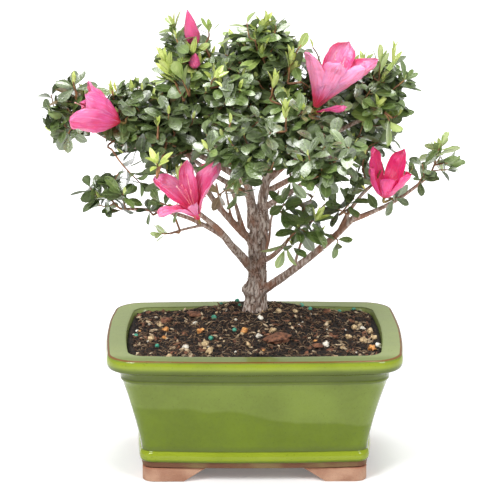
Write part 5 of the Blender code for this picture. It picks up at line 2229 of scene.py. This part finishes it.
    def place_blade(
        self, tone: Tone, root: Array, way: Array, angle: float, lean: float, length: float, width: float,
        curl: float,
    ) -> None:
        """Turn and shorten a blade until it fits and add it, or leave it out where it never does.

        Args:
            tone: Its colour.
            root: Where it leaves the shoot.
            way: The shoot's direction.
            angle: Its turn round the shoot.
            lean: Its angle from the shoot.
            length: Its length.
            width: Its width against its length.
            curl: How far its tip bends down.
        """
        side = unit(np.cross(way, (0.3, 0.9, 0.2)))
        other = np.cross(way, side)
        for twist in self.twists:
            out = turned(side, other, angle + twist)
            along = unit(turned(way, out, lean) + np.array((0, 0, self.lift)))
            across = np.cross(along, way)
            across /= max(1e-6, float(np.linalg.norm(across)))
            across = turned(across, np.cross(along, across), self.draw.gauss(0, self.roll))
            for cut in self.cuts:
                long = length * cut
                half = across * (width * long / 2)
                tip = root + along * long - np.cross(across, along) * (curl * long)
                middle = root + along * (0.6 * long)
                samples = np.array([
                    tip, middle, middle + half, middle - half, root + along * (0.35 * long),
                    (tip + middle + half) / 2, (tip + middle - half) / 2,
                ])
                if self.room.holds(samples, self.to_limb, across=self.past_wall) and self.is_free(samples):
                    blade = Blade(root, along, across, long, width * long, curl, self.draw.random())
                    self.crown.sprays[tone].blades.append(blade)
                    return

    def clothe(self, shoot: Shoot) -> None:
        """Grow a rosette at a shoot's end, with a bud or young blades in its middle.

        Args:
            shoot: The shoot.
        """
        uniform = self.draw.uniform
        height = float((shoot.end - self.room.centre)[2] / self.room.reach[2])
        fresh = self.draw.random() < self.mass.freshness * (1.25 if height > 0.2 else 0.6)
        chance = self.draw.random()
        tone = Tone.DARK if chance < 0.68 else Tone.MID
        if fresh:
            tone = Tone.FRESH if chance < 0.55 else Tone.MID
        elif chance > 0.965:
            tone = Tone.OLIVE
        turn = uniform(0, math.tau)
        count = self.draw.choice(self.rosette)
        for i in range(count):
            age = i / count
            lean = math.radians(50 + 58 * age + uniform(-10, 10))
            length = self.leaf_length * (0.76 + 0.32 * age) * uniform(0.82, 1.12)
            width = self.leaf_width * uniform(0.85, 1.15)
            root = shoot.end - shoot.way * (self.root_step * i)
            angle = turn + GOLDEN_TURN * i
            self.place_blade(tone, root, shoot.way, angle, lean, length, width, uniform(0.04, 0.26))
        self.add_bud(shoot, fresh)

    def add_bud(self, shoot: Shoot, fresh: bool) -> None:
        """Grow young blades that stand up from a rosette's middle.

        Args:
            shoot: The shoot.
            fresh: Whether it is fresh: its young blades are mostly long then, and a closed bud elsewhere.
        """
        is_open = fresh and self.draw.random() < 0.75
        if not is_open and self.draw.random() < 0.25:
            return
        count, lengths, leans, width = 3, (0.0055, 0.0095), (5, 13), 0.34
        if is_open:
            count, lengths, leans, width = self.draw.choice((4, 5, 6)), (0.01, 0.017), (8, 38), 0.3
        turn = self.draw.uniform(0, math.tau)
        root = shoot.end - shoot.way * 0.0006
        for i in range(count):
            length = self.draw.uniform(*lengths)
            lean = math.radians(self.draw.uniform(*leans))
            self.place_blade(Tone.YOUNG, root, shoot.way, turn + GOLDEN_TURN * i, lean, length, width, 0.02)

    def fill_along(self, twig: Twig, tone: Tone) -> None:
        """Grow single leaves along a twig, below its rosette.

        Args:
            twig: The twig.
            tone: Their colour.
        """
        for root, after in zip(twig.path[1:-1], twig.path[2:]):
            if self.draw.random() < self.along_share:
                length = self.leaf_length * self.draw.uniform(0.6, 0.95)
                lean = math.radians(self.draw.uniform(48, 80))
                width = self.leaf_width * self.draw.uniform(0.9, 1.15)
                angle = self.draw.uniform(0, math.tau)
                self.place_blade(tone, root, unit(after - root), angle, lean, length, width, 0.1)

    def grow(self) -> None:
        """Grow the whole mass."""
        size = (self.mass.mean_reach / self.mean_reach) ** 2
        bough = self.crown.paths[self.mass.bough]
        twigs, shoots = self.grow_twigs(bough, round(self.shoots * size * self.mass.fullness))
        self.add_twigs(twigs, shoots, bough.radii[-1])
        for shoot in shoots:
            self.clothe(shoot)
        for twig in twigs[1:]:
            self.fill_along(twig, self.draw.choice((Tone.DARK, Tone.DARK, Tone.MID)))
        self.crown.wood += [twig.path[:-1] for twig in twigs]
        log.info("%s: %d twigs, %d shoots", self.mass.name, len(twigs), len(shoots))

    def grow_sprig(self, sprig: Sprig) -> None:
        """Grow one shoot that stands out, with leaves from its tip down.

        Args:
            sprig: The sprig.
        """
        start, end = np.array(sprig.foot), np.array(sprig.tip)
        sway = np.array([self.draw.gauss(0, 0.07) for _ in range(3)]) * np.linalg.norm(end - start)
        path = self.crown.add_stem([start, (start + end) / 2 + sway, end], *self.crown.sprig_radii[1:])
        way = unit(path[-1] - path[-3])
        turn = self.draw.uniform(0, math.tau)
        for i in range(sprig.leaves):
            part = i / sprig.leaves
            root = path[round((1 - 0.65 * part) * (len(path) - 1))]
            degrees = sprig.lean[0] + (sprig.lean[1] - sprig.lean[0]) * part + self.draw.uniform(-8, 8)
            length = sprig.length * (0.8 + 0.3 * part) * self.draw.uniform(0.85, 1.1)
            curl = self.draw.uniform(0.0, 0.12)
            angle, lean = turn + GOLDEN_TURN * i, math.radians(degrees)
            self.place_blade(sprig.tone, root, way, angle, lean, length, sprig.width, curl)


@dataclass
class Crown:
    """All twigs and leaves, grown on from the boughs' tips within each mass's reach."""

    paths: Mapping[str, LimbPath]
    sprig_step: float = 0.0015
    sprig_radii: tuple[float, float, float] = (0.00095, 0.00075, 0.00045)
    joints_tried: int = 80
    sprays: dict[Tone, Spray] = field(default_factory=dict)
    twigs: Batch = field(default_factory=Batch)
    taken: set[tuple[int, ...]] = field(default_factory=set)
    wood: list[Array] = field(default_factory=list)

    def add_stem(self, knots: Sequence[Array], thick: float, thin: float) -> Array:
        """Add part of a sprig's stem.

        Args:
            knots: The points that it goes through.
            thick: Its radius at the first of them.
            thin: Its radius at the last.

        Returns:
            Its path.
        """
        path = curve_through(knots, self.sprig_step)
        self.twigs.add(*tube(path, np.linspace(thick, thin, len(path)), 5), {"slim": 1.0})
        return path

    def join_sprigs(self) -> None:
        """Carry each sprig's stem from its foot back to the nearest wood behind it, clear of the flowers."""
        limbs = [np.array([tuple(centre) for centre in path.centres]) for path in self.paths.values()]
        wood = np.concatenate([*self.wood, *limbs])
        clear = Room(MASSES[0], self.paths).to_flowers
        for sprig in SPRIGS:
            foot = np.array(sprig.foot)
            way = unit(np.array(sprig.tip) - foot)
            offsets = foot - wood
            distance = np.linalg.norm(offsets, axis=1)
            cost = distance + 2.0 * np.maximum(0.0, -(offsets @ way))
            choices = []
            for near in cost.argsort()[: self.joints_tried]:
                knots = [wood[near], foot - way * (0.25 * distance[near]), foot + way * 0.0004]
                inside = max(0.0, 0.0006 - float(clear(curve_through(knots, self.sprig_step)).min()))
                choices.append((distance[near] + 20.0 * inside, len(choices), knots))
            knots = min(choices)[2]
            self.add_stem(knots, *self.sprig_radii[:2])
            log.info("%s: a sprig joined over %.1f mm", sprig.place, 1000 * np.linalg.norm(knots[0] - foot))

    def build(self) -> None:
        """Grow every sprig and mass, then build and dress the twigs and the leaves of each colour."""
        broad, narrow = LeafShape(), LeafShape(halves=(0.25, 0.8, 1.0, 0.82, 0.42), fold=0.55)
        self.sprays = {tone: Spray(narrow if tone is Tone.YOUNG else broad) for tone in Tone}
        for sprig in SPRIGS:
            mass = next(mass for mass in MASSES if mass.place == sprig.place)
            room = Room(mass, self.paths, confined=False)
            Growth(self, mass, room, random.Random(repr(sprig.tip))).grow_sprig(sprig)
        for mass in MASSES:
            Growth(self, mass, Room(mass, self.paths), random.Random(f"{mass.name}_fine")).grow()
        self.join_sprigs()
        nodes = [mass.name for mass in MASSES]
        twig = TwigFinish("young_wood", tint(116, 78, 54), tint(168, 122, 76))
        add_piece(self.twigs.build("twigs"), twig.make(), nodes)
        for tone, spray in self.sprays.items():
            log.info("%s: %d blades", tone.value, len(spray.blades))
            add_piece(spray.build(tone.value), LEAF_FINISHES[tone].make(), nodes)


# Flowers


@dataclass
class Flower:
    """One open flower or closed bud, with its stalk, sepals and stamens."""

    bloom: Bloom
    draw: random.Random
    petal_rows: int = 16
    petal_columns: int = 12
    thickness: float = 0.00035
    cupping: float = 0.16
    ruffle: float = 0.0018
    crease: float = 0.0009
    crinkle: float = 0.0026
    crinkle_length: float = 0.0085
    fine_crinkle: float = 0.0009
    fine_length: float = 0.0032
    overlap: float = 0.0005
    widest_half: float = math.radians(46)
    bud_rows: int = 18
    bud_columns: int = 30
    bud_heights: tuple[float, ...] = (0, 0.12, 0.3, 0.6, 0.85, 1)
    bud_widths: tuple[float, ...] = (0.5, 0.85, 1, 0.72, 0.34, 0.05)
    stamen_count: int = 6
    sepal_count: int = 7
    stamen_radii: tuple[float, float] = (0.00022, 0.00016)
    anther_radius: float = 0.00045
    stalk_radius: float = 0.0009

    def __post_init__(self) -> None:
        """Find the flower's foot, its axis, two directions across it, and its length."""
        self.foot = Vector(self.bloom.foot)
        self.axis = Vector(self.bloom.mouth) - self.foot
        self.length = self.axis.length
        self.axis.normalize()
        self.side = (UP - self.axis * self.axis.z).normalized()
        self.other = self.axis.cross(self.side)

    def spoke(self, angle: float) -> Vector:
        """The direction out from the axis at this angle."""
        return turned(self.side, self.other, angle)

    def petal(self, number: int) -> Marked:
        """Shape one petal: part of the tube below, a broad crinkled lobe above.

        Args:
            number: Which of the flower's petals.

        Returns:
            The petal's points, its triangles and what its points carry.
        """
        wide_at = self.bloom.radius
        shape = self.bloom.petals[number]
        long = math.hypot(self.length, wide_at) * 1.04 * shape.length
        start_lean = math.radians(self.bloom.flare)
        end_lean = (2 * math.atan2(wide_at, self.length) - start_lean) * shape.spread
        curl, middle_angle = math.radians(shape.curl), math.radians(shape.angle)
        phase, seed = self.draw.uniform(0, math.tau), Vector((self.draw.uniform(0, 50), 0.0, number))
        lift = self.overlap * (number % 2)
        radius, climb = wide_at * 0.07, 0.0
        outer, inner, carried = [], [], []
        for row in range(self.petal_rows + 1):
            v = row / self.petal_rows
            lean = start_lean + (end_lean - start_lean) * v**0.9 + curl * max(0.0, (v - 0.55) / 0.45) ** 2
            if row:
                radius += math.sin(lean) * long / self.petal_rows
                climb += math.cos(lean) * long / self.petal_rows
            half = shape.breadth * long * math.sin(math.pi * (0.08 + 0.7 * v)) ** 0.8
            half *= 1.0 if v < 0.82 else math.sqrt(max(0.02, 1 - ((v - 0.82) / 0.18) ** 2))
            for column in range(self.petal_columns + 1):
                u = 2 * column / self.petal_columns - 1
                spoke = self.spoke(middle_angle + u * min(self.widest_half, half / radius))
                ruffle = self.ruffle * v**2 * u * u * math.sin(9.0 * v + 2.6 * u + phase)
                crease = -self.crease * math.exp(-((u / 0.16) ** 2)) * math.sin(math.pi * v)
                cup = -wide_at * self.cupping * u * u * min(1.0, 1.6 * v)
                flat = self.foot + self.axis * (climb * (1 - 0.05 * u * u * v)) + spoke * radius
                crinkle = self.crinkle * v * noise.noise(flat / self.crinkle_length + seed)
                crinkle += self.fine_crinkle * v * noise.noise(flat / self.fine_length)
                out = spoke * math.cos(lean) - self.axis * math.sin(lean)
                place = flat + out * (crinkle + ruffle + crease + cup + lift)
                outer.append(place)
                inner.append(place - out * self.thickness)
                vein = max(0.0, 1 - abs(u) / 0.1, 0.8 * (1 - abs(abs(u) - 0.45) / 0.07))
                freckle = max(0.0, 1 - abs(v - 0.42) / 0.36)
                carried.append((v, u + 3.0 * number, vein * (1 - 0.6 * v), freckle))
        inside = np.repeat((0.0, 1.0), len(outer))
        along, across, veined, freckled = np.tile(carried, (2, 1)).T
        marks = {
            "along": along, "across": across, "veined": veined, "freckled": freckled * inside,
            "inside": inside, "pale": self.bloom.paleness * (1 - inside),
        }
        return np.array([tuple(p) for p in outer + inner]), self.petal_faces(), marks

    def petal_faces(self) -> Array:
        """List a petal's triangles.

        Returns:
            The triangles of its outer face, of its inner face and of the rim between them.
        """
        wide = self.petal_columns + 1
        size = wide * (self.petal_rows + 1)
        faces = []
        for row in range(self.petal_rows):
            for a in range(row * wide, row * wide + self.petal_columns):
                faces += [(a, a + 1, a + wide + 1), (a, a + wide + 1, a + wide)]
        faces += [(size + a, size + c, size + b) for a, b, c in faces]
        last = size - wide
        right, left = range(2 * wide - 1, size, wide), range(last - wide, 0, -wide)
        rim = [*range(wide), *right, *range(size - 2, last - 1, -1), *left, 0]
        for a, b in zip(rim, rim[1:]):
            faces += [(b, a, size + a), (b, size + a, size + b)]
        return np.array(faces)

    def bud(self) -> Marked:
        """Shape a closed bud: petals wrapped round each other in a slim cone.

        Returns:
            Its points, its triangles and what its points carry.
        """
        rows, columns = self.bud_rows, self.bud_columns
        points, carried = [], []
        for row in range(rows + 1):
            v = row / rows
            radius = self.bloom.radius * float(np.interp(v, self.bud_heights, self.bud_widths))
            centre = self.foot + self.axis * (self.length * 1.04 * v)
            for column in range(columns):
                angle = math.tau * column / columns
                wrap = (5 * angle / math.tau + 1.6 * v) % 1.0
                ridge = 1 + 0.13 * (wrap - 0.5) * math.sin(math.pi * min(1.0, v * 1.1))
                points.append(centre + self.spoke(angle) * (radius * ridge))
                carried.append((0.25 + 0.75 * v, 5.0 * math.cos(angle)))
        points += [self.foot + self.axis * (self.length * 1.05), self.foot]
        carried += [(1.0, 0.0), (0.2, 0.0)]
        faces = []
        for a, b, c, d in ring_quads(rows + 1, columns):
            faces += [(a, b, c), (a, c, d)]
        top, bottom = len(points) - 2, len(points) - 1
        for column in range(columns):
            after = (column + 1) % columns
            faces.append((rows * columns + column, rows * columns + after, top))
            faces.append((after, column, bottom))
        along, across = np.array(carried).T
        marks = {"along": along, "across": across}
        marks |= dict.fromkeys(("veined", "freckled", "inside", "pale"), np.zeros(len(points)))
        return np.array([tuple(p) for p in points]), np.array(faces), marks

    def stamens(self, batch: Batch) -> None:
        """Grow thin curved stamens and one longer style, from the throat past the mouth.

        Args:
            batch: Where they go.
        """
        for k in range(self.stamen_count):
            spoke = self.spoke(math.tau * k / self.stamen_count + self.draw.uniform(-0.2, 0.2))
            reach = self.length * (1.12 if k == 0 else self.draw.uniform(0.8, 1.0))
            width = self.bloom.radius * self.draw.uniform(0.1, 0.28)
            parts = (0.1, 0.4, 0.7, 1.0)
            knots = [self.foot + self.axis * (reach * t) + spoke * (width * t**1.6) for t in parts]
            path = curve_through(knots, 0.003)
            batch.add(*tube(path, np.linspace(*self.stamen_radii, len(path)), 4))
            anther = [path[-1] + np.array(self.axis) * shift for shift in (-0.0004, 0.0006)]
            batch.add(*tube(np.array(anther), np.full(2, self.anther_radius), 6))

    def sepals(self, spray: Spray) -> None:
        """Grow small pointed sepals and bud scales round the flower's foot.

        Args:
            spray: Where they go.
        """
        foot, axis = np.array(self.foot), np.array(self.axis)
        lean, longest = (0.5, 0.007) if self.bloom.petals else (0.42, 1.7 * self.bloom.radius)
        for k in range(self.sepal_count):
            spoke = np.array(self.spoke(math.tau * k / self.sepal_count + self.draw.uniform(-0.2, 0.2)))
            along = turned(axis, spoke, lean)
            across = unit(np.cross(along, axis))
            root = foot - axis * 0.0012 + spoke * 0.0006
            length = longest * self.draw.uniform(0.7, 1.0)
            spray.blades.append(Blade(root, along, across, length, length * 0.42, 0.0, self.draw.random()))

    def stalk(self, batch: Batch, wood: Array) -> None:
        """Grow the stalk from the nearest twig to the flower's foot.

        Args:
            batch: Where it goes.
            wood: The points of all twigs.
        """
        below = self.foot - self.axis * 0.004
        nearest = wood[np.linalg.norm(wood - np.array(below - self.axis * 0.004), axis=1).argmin()]
        path = curve_through([nearest, below, self.foot + self.axis * 0.001], 0.002)
        batch.add(*tube(path, np.linspace(self.stalk_radius * 0.8, self.stalk_radius * 1.3, len(path)), 8))


@dataclass
class Flowers:
    """All open flowers and closed buds, on stalks that leave the nearest twigs."""

    wood: Array
    sharp_edge: float = 65.0

    def build(self) -> None:
        """Build and dress the petals, stalks, stamens and sepals."""
        nodes = sorted({f"foliage_{bloom.place}" for bloom in BLOOMS})
        bright, deep, stalks, stamens = Batch(), Batch(), Batch(), Batch()
        scales = Spray(LeafShape(halves=(0.5, 0.95, 1.0, 0.75, 0.35), fold=0.4))
        for number, bloom in enumerate(BLOOMS):
            flower = Flower(bloom, random.Random(f"bloom_{number}"))
            batch = deep if bloom.deep else bright
            for k in range(len(bloom.petals)):
                batch.add(*flower.petal(k))
            if not bloom.petals:
                batch.add(*flower.bud())
            elif bloom.has_stamens:
                flower.stamens(stamens)
            flower.sepals(scales)
            flower.stalk(stalks, self.wood)
        petals = smooth(bright.build("petals"), self.sharp_edge)
        add_piece(petals, PetalFinish("petal").make(), nodes)
        petals = smooth(deep.build("petals_deep"), self.sharp_edge)
        crimson = PetalFinish(
            "petal_deep", tint(210, 24, 76), tint(226, 38, 116), tint(242, 92, 156), paleness=0.4,
        )
        add_piece(petals, crimson.make(), ["foliage_right_mid"])
        stalk = TwigFinish("flower_stalk", tint(112, 92, 44), tint(150, 128, 66))
        add_piece(stalks.build("flower_stalks"), stalk.make(), nodes)
        stamen = TwigFinish("stamen", tint(236, 120, 150), tint(250, 206, 196))
        add_piece(stamens.build("stamens"), stamen.make(), nodes)
        sepal = LeafFinish("sepal", tint(150, 96, 34), tint(172, 164, 62), tint(206, 196, 96), 0.4)
        add_piece(scales.build("sepals"), sepal.make(), nodes)


# Studio


class Light(NamedTuple):
    """A square soft light: its place, the length of its sides and its power in watts."""

    name: str
    place: Place
    size: float
    power: float


@dataclass
class Studio:
    """The white sweep, the soft lights and the camera."""

    camera_place: Place = (-0.0156, -1.6563, 0.5896)
    camera_aim: Place = (-0.0029, 0.0, 0.1566)
    focal_pixels: float = 2392.0
    frame_pixels: float = 500.0
    sensor: float = 36.0
    light_aim: Place = (0.0, 0.0, 0.12)
    lights: tuple[Light, ...] = (
        Light("key", (-0.85, -1.15, 1.45), 0.7, 30.0),
        Light("fill", (1.05, -1.2, 1.15), 0.7, 14.0),
        Light("top", (0.1, 0.25, 1.7), 0.9, 22.0),
    )
    sky: float = 0.5

    def build(self) -> None:
        """Build the floor, the lights and the camera."""
        deselect()
        bpy.ops.mesh.primitive_plane_add(size=16.0, location=(0.0, 3.0, -0.0002))
        floor = bpy.context.object
        floor.name = "studio_floor"
        settle(floor)
        floor.data.materials.append(FloorFinish().make())
        for light in self.lights:
            data = bpy.data.lights.new(light.name, "AREA")
            data.size = light.size
            data.energy = light.power
            self.aim(data, light.place, self.light_aim)
        world = bpy.data.worlds.new("studio_world")
        world.use_nodes = True
        background = world.node_tree.nodes["Background"]
        background.inputs["Color"].default_value = (1.0, 1.0, 1.0, 1.0)
        background.inputs["Strength"].default_value = self.sky
        scene = bpy.context.scene
        scene.world = world
        scene.view_settings.view_transform = "Standard"
        data = bpy.data.cameras.new("camera")
        data.sensor_width = self.sensor
        data.lens = self.focal_pixels * self.sensor / self.frame_pixels
        data.clip_end = 50.0
        scene.camera = self.aim(data, self.camera_place, self.camera_aim)

    def aim(self, data: bpy.types.ID, place: Place, target: Place) -> bpy.types.Object:
        """Put a light or a camera in its place.

        Args:
            data: The light's or the camera's own data.
            place: Where it stands.
            target: What it faces.

        Returns:
            The object.
        """
        obj = bpy.data.objects.new(data.name, data)
        obj.location = place
        obj.rotation_euler = (Vector(target) - Vector(place)).to_track_quat("-Z", "Y").to_euler()
        bpy.context.scene.collection.objects.link(obj)
        return obj


def main() -> None:
    """Build every piece in order and note the sizes."""
    logging.basicConfig(level=logging.INFO, format="%(name)s: %(message)s")
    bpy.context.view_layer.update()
    pot = Pot()
    pot.build()
    SoilBed(pot).build()
    crown = Crown(Wood().build())
    crown.build()
    Flowers(np.concatenate(crown.twigs.points)).build()
    Studio().build()


if __name__ == "__main__":
    main()
